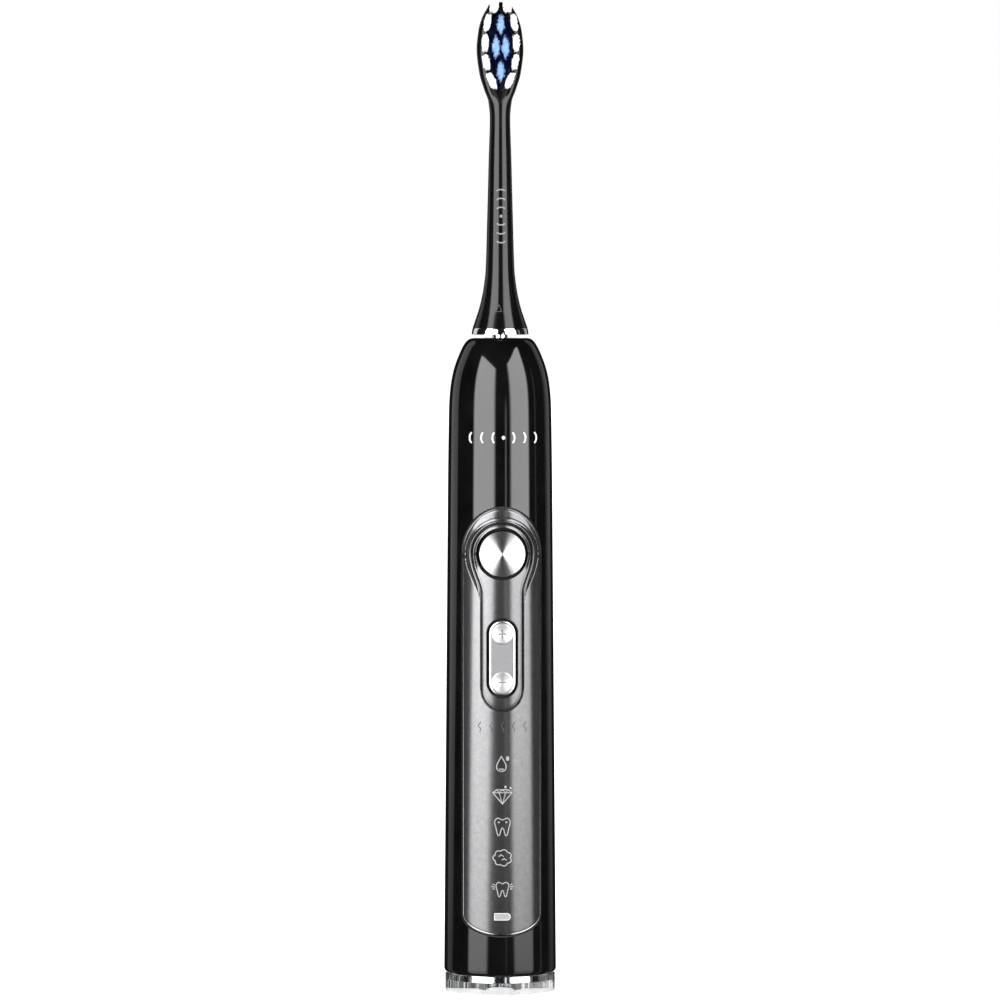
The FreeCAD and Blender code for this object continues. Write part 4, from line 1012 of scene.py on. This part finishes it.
def make_icons():
    for i, (cz, strokes) in enumerate(icon_strokes().items()):
        field = lambda x, z, s=strokes, c=cz: sd_strokes(x, z, s, c)
        obj = inlay("mode_icon_%d" % (i + 1), field, (-3.2, 3.2, cz - 2.8, cz + 2.8))
        finish(obj, "handle", "window_white", ICON, "mode_icons")
    battery_z = 21.0
    body = lambda x, z: np.minimum(sd_box(x, z, -0.6, battery_z, 1.3, 0.75) - 0.15,
                                   sd_segment(x, z, (-0.6, battery_z), (1.15, battery_z)) - 0.9)
    rim = lambda x, z: np.maximum(body(x, z), -body(x, z) - 0.22)
    box = (-2.5, 2.5, battery_z - 1.3, battery_z + 1.3)
    finish(inlay("battery_outline", rim, box), "handle", "window_white", PALE_ICON, "battery_icon")
    fill = lambda x, z: body(x, z) + 0.25
    finish(inlay("battery_fill", fill, box), "handle", "window_white", ICON, "battery_icon")


INTENSITY_Z = 68.0
INTENSITY_PITCH = 2.8


def make_intensity_marks():
    """Five faint upright wavy marks in a row."""
    wave = [(0.3 * math.sin(t * 1.25 * math.pi * 2), -1.2 + 2.4 * t) for t in np.linspace(0, 1, 13)]
    strokes = [([(px + i * INTENSITY_PITCH, pz) for px, pz in wave], False, 0.2) for i in range(-2, 3)]
    field = lambda x, z: sd_strokes(x, z, strokes, INTENSITY_Z)
    obj = inlay("intensity_windows", field, (-6.4, 6.4, INTENSITY_Z - 1.5, INTENSITY_Z + 1.5), 0.04)
    finish(obj, "handle", "window_white", FAINT_ICON, "intensity_marks")


ARC_PITCH = 2.75
MOTIF_X = 0.3
MOTIF_Z = 139.4


def sonic_strokes(scale, cx, cz, upright=False):
    """A plain row of arcs that spread both ways from a dot, as a sign for vibration."""
    strokes = [([(0, 0), (0, 0.01)], 0.9 * scale)]
    for side in (-1, 1):
        for i in (1, 2, 3):
            bow = [(side * (i * ARC_PITCH + 0.75 * math.cos(a) - 0.75), 1.35 * math.sin(a))
                   for a in np.linspace(-1.05, 1.05, 13)]
            strokes.append(([(scale * px, scale * pz) for px, pz in bow], 0.42 * scale))
    turned = [([(pz, px) if upright else (px, pz) for px, pz in points], width) for points, width in strokes]
    return [([(px + cx, pz + cz) for px, pz in points], False, width) for points, width in turned]


def make_motif():
    """The row of arcs where such handles carry a name."""
    strokes = sonic_strokes(1.0, MOTIF_X, MOTIF_Z)
    field = lambda x, z: sd_strokes(x, z, strokes, 0)
    obj = inlay("sonic_mark", field, (-9.4, 10.0, MOTIF_Z - 2, MOTIF_Z + 2), 0.06, 0.1)
    finish(obj, "handle", "window_white", PALE_ICON)


# Clear foot

FROST_Z = 1.5
FOOT_FLAT_R = 12.9


def make_foot():
    """The clear foot with its chrome ring."""
    r, tier, top = CAP_HIGH[0], CHROME_LOW[2], SHELL_LOW[2]
    flat_r, wall_r, spigot_r, spigot_top, bore_r = FOOT_FLAT_R, 12.75, 11.9, CAP_HIGH[2], 10.4
    well_r, well_deep = 3.6, 5.0
    edge = [(flat_r + 0.75 * math.sin(a), 1.1 - 1.1 * math.cos(a)) for a in np.linspace(0.15, math.pi / 2, 9)]
    outline = [(0, well_deep), (well_r - 0.3, well_deep), (well_r, well_deep - 0.3), (well_r, 0.25),
               (well_r + 0.25, 0), (flat_r, 0)] + edge
    outline += [(r, FROST_Z), (r, tier), (r, top - 0.2), (r - 0.1, top - 0.05), (r - 0.25, top)]
    outline += [(wall_r, top), (wall_r, tier), (spigot_r, tier), (spigot_r, spigot_top),
                (bore_r, spigot_top), (bore_r, top), (0, top)]
    obj = lathe("clear_foot", outline, 224, 28)
    finish(obj, "handle", "clear_plastic", CLEAR, "end_cap")
    # The lowest band takes the frosted material with its painted glow
    paint_faces(obj, FROSTED, lambda x, y, z: (z < FROST_Z) & (np.hypot(x, y) > FOOT_FLAT_R - 0.1))
    ring_r, inner, lean = CHROME_HIGH[0], spigot_r + 0.05, 0.13
    outline = [(inner, tier), (ring_r - 0.08, tier), (ring_r, tier + 0.08), (ring_r - lean, top - 0.08),
               (ring_r - lean - 0.08, top), (inner, top)]
    obj = lathe("chrome_band", outline, 192, 28)
    finish(obj, "handle", "bright_chrome", CHROME, "end_cap_ring")


# Brush head

FACE_Y = -1.8
SOCKET_R = 3.0
FLAT_FROM_Z = 221.5
END_Z = 246.2
STEM_SECTIONS = [
    (166.4, 6.9, 6.9), (168.65, 6.12, 6.12), (171.15, 5.3, 5.3), (173.65, 4.65, 4.65), (176.15, 4.17, 4.17),
    (181.15, 3.6, 3.6), (193.65, 3.22, 3.22), (208.65, 2.83, 2.83), (218.65, 2.55, 2.6),
    (222.65, 2.92, 2.6), (225.65, 3.97, 2.6), (229.65, 5.15, 2.6), (235.65, 5.82, 2.6),
    (240.15, 5.4, 2.5), (243.65, 4.4, 2.3), (END_Z, 3.0, 1.9),
]


def stem_radii(z):
    """Half width and half depth of the stem and head at a height."""
    heights, widths, depths = np.array(STEM_SECTIONS).T
    return monotone_curve(heights, widths, z), monotone_curve(heights, depths, z)


def soft_floor(y, low, k):
    """The larger of y and low, with the corner rounded over a distance k."""
    t = np.clip(0.5 + 0.5 * (y - low) / k, 0, 1)
    return low + (y - low) * t + k * t * (1 - t)


STEM_SEGMENTS = 144
STEM_ANGLES = np.linspace(0, 2 * math.pi, STEM_SEGMENTS, endpoint=False)


def stem_rings():
    """The outside of the neck and head, ring by ring up to a point, flat where the bristles stand."""
    z_side = np.concatenate([np.linspace(STEM_LOW[2], 220, 170), np.linspace(220.2, END_Z, 150)])
    w_side, d_side = stem_radii(z_side)
    arc = np.linspace(0, math.pi / 2, 14)[1:]
    narrowing = np.cos(arc) ** 0.9
    z = np.concatenate([z_side, END_Z + (STEM_HIGH[2] - END_Z) * np.sin(arc)])[:, None]
    w = np.concatenate([w_side, w_side[-1] * narrowing])[:, None]
    d = np.concatenate([d_side, d_side[-1] * narrowing])[:, None]
    x, y = w * np.cos(STEM_ANGLES), d * np.sin(STEM_ANGLES)
    flat = smooth_step((z - FLAT_FROM_Z) / 4.0)
    y = y * (1 - flat) + soft_floor(y, FACE_Y, 0.35) * flat
    return np.stack([x, y, np.broadcast_to(z, x.shape)], -1)


def make_stem():
    """The neck and head in one body, with a socket at the foot."""
    rings = stem_rings()
    circle = SOCKET_R * np.stack([np.cos(STEM_ANGLES), np.sin(STEM_ANGLES), 0 * STEM_ANGLES], 1)
    verts = np.concatenate([rings.reshape(-1, 3), circle + (0, 0, INSERT_HIGH[2]),
                            circle + (0, 0, STEM_LOW[2]), [[0, 0, INSERT_HIGH[2]]]])
    k = np.arange(STEM_SEGMENTS)
    k2 = (k + 1) % STEM_SEGMENTS
    top_ring, foot_ring, centre = (np.arange(3) + len(rings)) * STEM_SEGMENTS
    starts = np.arange(len(rings)) * STEM_SEGMENTS
    faces = []
    for near, far in list(zip(starts, starts[1:])) + [(foot_ring, 0), (top_ring, foot_ring)]:
        faces += np.stack([near + k, near + k2, far + k2, far + k], 1).tolist()
    faces += np.stack([top_ring + k2, top_ring + k, np.full(STEM_SEGMENTS, centre)], 1).tolist()
    obj = mesh_object("brush_neck", verts, faces, 40)
    weld_and_orient(obj)
    obj.data.set_sharp_from_angle(angle=math.radians(40))
    finish(obj, "brush_head", "black_gloss", STEM_GLOSS, "brush_stem")


def make_neck_ring():
    low, high = RING_LOW[2], RING_HIGH[2]
    r0, r1 = RING_HIGH[0], 6.93
    outline = [(SOCKET_R, low), (r0 - 0.12, low), (r0 - 0.03, low + 0.05), (r0, low + 0.14),
               (r1 + 0.02, high - 0.12), (r1 - 0.06, high), (SOCKET_R, high)]
    obj = lathe("neck_ring_band", outline, 160, 30)
    finish(obj, "brush_head", "bright_chrome", CHROME, "neck_ring")


def stem_front(x, z, proud):
    """Points on the front of the stem, standing out by that much."""
    w, d = stem_radii(z)
    return np.stack([x, -(d + proud) * np.sqrt(np.maximum(1 - (x / w) ** 2, 0)), z], -1)


def make_stem_marks():
    """A small triangle at the foot of the neck and a column of arcs up its front."""
    strokes = [([(-0.75, -0.75), (0.1, 0.95), (0.75, -0.75)], True, 0.2)]
    cx, cz = -0.6, 171.3
    field = lambda x, z: sd_strokes(x - cx, z, strokes, cz)
    obj = slab("align_triangle", field, (cx - 1.2, cx + 1.2, cz - 1.2, cz + 1.3), 0.05, [0.0],
               lambda x, z: stem_front(x, z, 0.06), lambda x, z: stem_front(x, z, -0.15), 40)
    finish(obj, "brush_head", "black_gloss", BLACK_PLASTIC)
    strokes = sonic_strokes(0.8, 0.1, 194.2, True)
    field = lambda x, z: sd_strokes(x, z, strokes, 0)
    obj = slab("neck_mark", field, (-1.3, 1.5, 187.0, 201.4), 0.05, [0.0],
               lambda x, z: stem_front(x, z, 0.01), lambda x, z: stem_front(x, z, -0.15), 40)
    finish(obj, "brush_head", "window_white", NECK_ICON)


# Bristles

FILAMENT_R = 0.078
FILAMENT_PITCH = 0.165
ROW_PITCH = FILAMENT_PITCH * 0.87
# Each tuft: x, z, half width, half height, lean of its outline
WHITE_TUFTS = [(1.6, 245.8, 1.0, 1.45, -0.1), (3.3, 241.8, 0.78, 1.95, -0.15), (3.8, 236.8, 0.78, 2.0, 0.0),
               (3.55, 232.1, 0.8, 1.8, 0.17), (2.2, 227.5, 0.88, 1.8, 0.4)]
BLUE_TUFTS = [(0.0, 241.3, 0.95, 2.5, 0.0), (0.0, 229.8, 0.95, 2.6, 0.0)]
BLUE_PAIR = [(1.18, 235.7, 0.92, 2.9, 0.0)]
TUFT_TIP_Y = {"white": -11.8, "blue": -11.3, "navy": -10.8}
TIP_SHIFT = -0.3
RAGGED = ((5, 0.12), (11, 0.16), (17, 0.14))
NAVY_GAP = 0.2
NAVY_SHARE = 0.8
# Half width of the dark field at each height
NAVY_ZS = (226.5, 229, 232, 237, 241, 243.2, 244)
NAVY_HALF_WS = (0.3, 1.8, 2.7, 3.0, 2.5, 1.2, 0.4)


def mirrored(specs):
    return [(side * x, z, w, h, side * lean) for x, z, w, h, lean in specs for side in (-1, 1)]


def tuft_place(tuft, x, z):
    """A point's place in a tuft's section, from -1 to 1 each way."""
    cx, cz, hw, hh, lean = tuft
    return (x - cx - lean * (z - cz)) / hw, (z - cz) / hh


def inside_tuft(colour, u, v, grow=0.0):
    if colour == "blue":
        return abs(u) ** 1.2 + abs(v) ** 1.9 < 1.0 + grow
    return abs(u) ** 3 + abs(v) ** 3 < 1.0 + grow


def between_tufts(x, z, tufts):
    """Whether a point is in the dark field that the other tufts stand in."""
    for colour, group in tufts.items():
        for tuft in group:
            if inside_tuft(colour, *tuft_place(tuft, x, z), NAVY_GAP):
                return False
    return abs(x) < np.interp(z, NAVY_ZS, NAVY_HALF_WS)


def filament(x, z, root_y, tip_y, lean_x, lean_z, verts, faces):
    """One six-sided filament with a rounded tip."""
    base = len(verts)
    levels = [(0.0, 1.0), (0.55, 1.0), (0.985, 1.0), (0.997, 0.7)]
    for t, width in levels:
        cx, cz = x + lean_x * t * t, z + lean_z * t * t
        y = root_y + (tip_y - root_y) * t
        for k in range(6):
            a = math.pi * k / 3
            verts.append((cx + FILAMENT_R * width * math.cos(a), y, cz + FILAMENT_R * width * math.sin(a)))
    verts.append((x + lean_x, tip_y, z + lean_z))
    for level in range(len(levels) - 1):
        for k in range(6):
            a, b = base + level * 6 + k, base + level * 6 + (k + 1) % 6
            faces.append((a, b, b + 6, a + 6))
    tip, last = base + 6 * len(levels), base + 6 * (len(levels) - 1)
    for k in range(6):
        faces.append((last + k, last + (k + 1) % 6, tip))
    faces.append(tuple(base + k for k in reversed(range(6))))


def tuft_filaments(colour, tuft, rng):
    """The places in one tuft and how far each is from its middle."""
    cx, cz, hw, hh, lean = tuft
    phases = [rng.uniform(0, 2 * math.pi) for wave in RAGGED]
    rows = int(2 * hh / ROW_PITCH) + 1
    cols = int(2 * (hw + abs(lean) * hh) / FILAMENT_PITCH) + 1
    for i in range(rows + 1):
        for j in range(cols + 1):
            x = cx + (j - cols / 2 + (0.5 if i % 2 else 0.0)) * FILAMENT_PITCH + rng.uniform(-0.03, 0.03)
            z = cz + (i - rows / 2) * ROW_PITCH + rng.uniform(-0.03, 0.03)
            u, v = tuft_place(tuft, x, z)
            angle = math.atan2(v, u)
            ragged = sum(size * math.sin(turns * angle + p) for (turns, size), p in zip(RAGGED, phases))
            if inside_tuft(colour, u, v, ragged + rng.uniform(-0.35, 0.15)):
                yield x, z, u, v


def dark_filaments(tufts, rng):
    """The places of the dark filaments between the tufts."""
    for z in np.arange(226.0, 244.5, FILAMENT_PITCH):
        for x in np.arange(-3.2, 3.2, FILAMENT_PITCH):
            px, pz = x + rng.uniform(-0.05, 0.05), z + rng.uniform(-0.05, 0.05)
            if between_tufts(px, pz, tufts) and rng.random() < NAVY_SHARE:
                yield px, pz, rng.uniform(-1, 1), rng.uniform(-1, 1)


def make_tufts():
    rng = random.Random(SEED)
    tufts = {"white": mirrored(WHITE_TUFTS), "blue": BLUE_TUFTS + mirrored(BLUE_PAIR)}
    places = {colour: [p for tuft in group for p in tuft_filaments(colour, tuft, rng)]
              for colour, group in tufts.items()}
    places["navy"] = list(dark_filaments(tufts, rng))
    for colour, spots in places.items():
        verts, faces = [], []
        for x, z, u, v in spots:
            tip = TUFT_TIP_Y[colour] + rng.uniform(0, 0.15) + 0.25 * (u * u + v * v)
            lean_x = TIP_SHIFT + 0.05 * u + rng.gauss(0, 0.04)
            lean_z = 0.08 * v + rng.gauss(0, 0.04)
            filament(x, z, FACE_Y + 1.0, tip, lean_x, lean_z, verts, faces)
        obj = mesh_object("bristles_" + colour, verts, faces, 60)
        finish(obj, "brush_head", "bristle_" + colour, BRISTLE[colour], "tufts_" + colour)


# Studio

LIGHT_RADIANCE = 7.0
LIGHT_DISTANCE = 0.9
CURVE_Z = (-1.0, 2.0)


def maths(tree, operation, first, second=0.0):
    """One maths node; each input is a number or another node's output."""
    return node(tree, "Math", {0: first, 1: second}, operation=operation).outputs[0]


def step_between(tree, value, low, high):
    """Rises smoothly from 0 to 1 as the value goes from low to high."""
    return remap(tree, value, (0.0, 1.0), (low, high), interpolation_type="SMOOTHSTEP")


def table_curve(tree, value, table, source):
    """A curve of straight pieces through (input, output) points."""
    low = min(y for _, y in table)
    high = max(max(y for _, y in table), low + 1e-3)
    curve = node(tree, "FloatCurve", {"Value": remap(tree, value, (0.0, 1.0), source)})
    spots = [((x - source[0]) / (source[1] - source[0]), (y - low) / (high - low)) for x, y in table]
    points = curve.mapping.curves[0].points
    points[0].location, points[-1].location = (0.0, spots[0][1]), (1.0, spots[-1][1])
    for spot in spots:
        points.new(*spot)
    for point in points:
        point.handle_type = "VECTOR"
    curve.mapping.update()
    return remap(tree, curve.outputs["Value"], (low, high))


def shape_light(light, inner, outer, top, fade, soft):
    """Masks a light to a shape given by azimuths at each height, and fades it with height."""
    light.use_nodes = True
    tree = light.node_tree
    place = node(tree, "NewGeometry", {}).outputs["Position"]
    x, y, z = node(tree, "SeparateXYZ", {"Vector": place}).outputs
    turn = maths(tree, "ARCTAN2", x, maths(tree, "MULTIPLY", y, -1.0))
    azimuth = maths(tree, "ABSOLUTE", maths(tree, "MULTIPLY", turn, 180 / math.pi))
    near = maths(tree, "SUBTRACT", azimuth, table_curve(tree, z, inner, CURVE_Z))
    far = maths(tree, "SUBTRACT", table_curve(tree, z, outer, CURVE_Z), azimuth)
    over = maths(tree, "SUBTRACT", table_curve(tree, azimuth, top, (0, 180)), z)
    factor = table_curve(tree, z, fade, CURVE_Z)
    for distance, edge in zip((near, far, over), soft):
        factor = maths(tree, "MULTIPLY", factor, step_between(tree, distance, -edge, edge))
    feed(tree, tree.nodes["Emission"], {"Strength": factor})


def softbox(name, azimuths, heights, radiance):
    """An upright rectangular light between two azimuths, counted from the front towards +X."""
    (azimuth_from, azimuth_to), (z_low, z_high) = azimuths, heights
    middle = math.radians((azimuth_from + azimuth_to) / 2)
    width = 2 * LIGHT_DISTANCE * math.tan(math.radians((azimuth_to - azimuth_from) / 2))
    light = bpy.data.lights.new(name, "AREA")
    light.shape = "RECTANGLE"
    light.size, light.size_y = width, z_high - z_low
    light.energy = radiance * math.pi * width * (z_high - z_low)
    obj = bpy.data.objects.new(name, light)
    bpy.context.scene.collection.objects.link(obj)
    towards = Vector((-math.sin(middle), math.cos(middle), 0))
    obj.location = -LIGHT_DISTANCE * towards + Vector((0, 0, (z_low + z_high) / 2))
    obj.rotation_euler = towards.to_track_quat("-Z", "Y").to_euler()
    obj.visible_camera = False
    return obj


# Each light: name, azimuths, heights and share of the full radiance, then its mask: the nearest and the
# farthest azimuth at each height, the top at each azimuth, the fade at each height, three edge widths
LIGHTS = [
    ("left_box", (-82, -8), (-0.7, 1.3), 1.0,
     [(-0.08, 30.0), (0.01, 22.5), (0.1, 14.5)], [(-0.08, 70.5), (0.1, 62.0)], [(14, 0.78), (62, 0.93)],
     [(-0.2, 0.3), (-0.08, 0.42), (0.1, 1.0), (0.8, 1.05)], (4.0, 3.0, 0.01)),
    ("right_box", (10, 82), (-0.7, 1.7), 1.0,
     [(-0.08, 28.0), (0.0, 21.5), (0.1, 21.5), (0.9, 18.0)], [(-0.08, 69.0), (0.1, 63.5)],
     [(20, 0.9), (63, 1.16)], [(-0.2, 0.18), (-0.08, 0.3), (0.0, 0.62), (0.1, 0.95), (0.8, 1.0)],
     (4.0, 3.0, 0.01)),
    ("thin_strip", (5, 15), (-0.7, 0.35), 0.25,
     [(0, 8.5)], [(0, 12.0)], [(0, 0.2)], [(-0.1, 0.1), (0.0, 0.3), (0.1, 1.0)], (0.8, 0.8, 0.07)),
    ("side_line", (76, 96), (-0.7, 0.9), 0.05,
     [(-0.08, 88.5), (0.1, 80.0)], [(-0.08, 92.5), (0.1, 84.0)], [(0, 0.5)], [(0, 1.0)], (0.8, 0.8, 0.1)),
    ("left_rim", (-145, -105), (-0.7, 1.0), 0.1,
     [(-0.08, 117.0), (0.1, 110.0)], [(0, 139.0)], [(0, 1.0)], [(-0.08, 0.35), (0.1, 1.0)], (2.0, 3.0, 0.1)),
    ("right_rim", (105, 145), (-0.7, 1.0), 0.06,
     [(0, 119.0)], [(0, 139.0)], [(0, 1.0)], [(-0.08, 0.4), (0.1, 1.0)], (8.0, 3.0, 0.1)),
    ("back_box", (168, 192), (-0.35, 0.85), 0.3),
]
SEEN_THROUGH_CLEAR = ("left_box", "right_box", "thin_strip")


def make_lights():
    for name, azimuths, heights, share, *mask in LIGHTS:
        light = softbox(name, azimuths, heights, LIGHT_RADIANCE * share)
        if mask:
            shape_light(light.data, *mask)
        light.visible_transmission = name in SEEN_THROUGH_CLEAR


WORLD_GLOSSY = 0.012
WORLD_DULL = 0.35
BEHIND_LIFT = 0.35
BEHIND_DIM = (0.004, 0.6)
STREAK_SCALE = 14.0


def make_world():
    """White to the camera, dark to reflections, soft grey to dull surfaces.

    Clear plastic shows upright light and dark streaks behind the object, brighter above the horizon.
    """
    world = bpy.data.worlds.new("studio")
    bpy.context.scene.world = world
    world.use_nodes = True
    tree = world.node_tree
    path = node(tree, "LightPath", {}).outputs
    coords = node(tree, "TexCoord", {}).outputs["Generated"]
    x, y, z = node(tree, "SeparateXYZ", {"Vector": coords}).outputs
    inputs = {"W": maths(tree, "ARCTAN2", x, y), "Scale": STREAK_SCALE}
    streak = node(tree, "TexNoise", inputs, noise_dimensions="1D").outputs["Fac"]
    behind = remap(tree, step_between(tree, streak, 0.5, 0.64), BEHIND_DIM)
    lift = maths(tree, "MULTIPLY", step_between(tree, z, -0.01, 0.03), BEHIND_LIFT)
    behind = maths(tree, "ADD", behind, lift)
    behind = maths(tree, "MULTIPLY", behind, step_between(tree, y, 0, 0.2))
    behind = maths(tree, "MULTIPLY", behind, path["Is Transmission Ray"])
    dull = maths(tree, "MULTIPLY", path["Is Diffuse Ray"], WORLD_DULL)
    total = maths(tree, "ADD", maths(tree, "ADD", behind, dull), WORLD_GLOSSY)
    total = maths(tree, "MAXIMUM", total, path["Is Camera Ray"])
    feed(tree, tree.nodes["Background"], {"Color": (1, 1, 1, 1), "Strength": total})


FLOOR_GLOW = 1.6


def make_floor():
    """A wide pale floor that reflections don't see."""
    mesh = bpy.data.meshes.new("floor")
    bm = bmesh.new()
    bmesh.ops.create_grid(bm, x_segments=2, y_segments=2, size=12.0)
    bm.to_mesh(mesh)
    bm.free()
    floor = bpy.data.objects.new("floor", mesh)
    bpy.context.scene.collection.objects.link(floor)
    floor.location = (0, 0, -0.00005)
    mat, tree = new_material("pale_floor")
    paint(tree, {"Base Color": (0.3, 0.3, 0.3, 1), "Roughness": 0.9, "Specular IOR Level": 0.0,
                 "Emission Color": (1, 1, 1, 1), "Emission Strength": FLOOR_GLOW})
    mesh.materials.append(mat)
    floor.visible_glossy = False
    floor.visible_transmission = False


CAMERA_DISTANCE = 1.55
CAMERA_HEIGHT = 0.172
AIM_Z = 0.12365
TURN_DEG = 2.5
LENS = 224.3


def make_camera():
    data = bpy.data.cameras.new("camera")
    data.lens = LENS
    data.sensor_width = 36
    data.clip_start = 0.05
    obj = bpy.data.objects.new("camera", data)
    bpy.context.scene.collection.objects.link(obj)
    turn = math.radians(TURN_DEG)
    obj.location = (-CAMERA_DISTANCE * math.sin(turn), -CAMERA_DISTANCE * math.cos(turn), CAMERA_HEIGHT)
    towards = Vector((0, 0, AIM_Z)) - obj.location
    obj.rotation_euler = towards.to_track_quat("-Z", "Y").to_euler()
    bpy.context.scene.camera = obj


dress_cad_nodes()
make_shell()
make_panel()
make_bezel()
make_power_button()
make_rocker()
make_icons()
make_intensity_marks()
make_motif()
make_foot()
make_stem()
make_neck_ring()
make_stem_marks()
make_tufts()
make_lights()
make_world()
make_floor()
make_camera()
bpy.context.scene.view_settings.view_transform = "Standard"
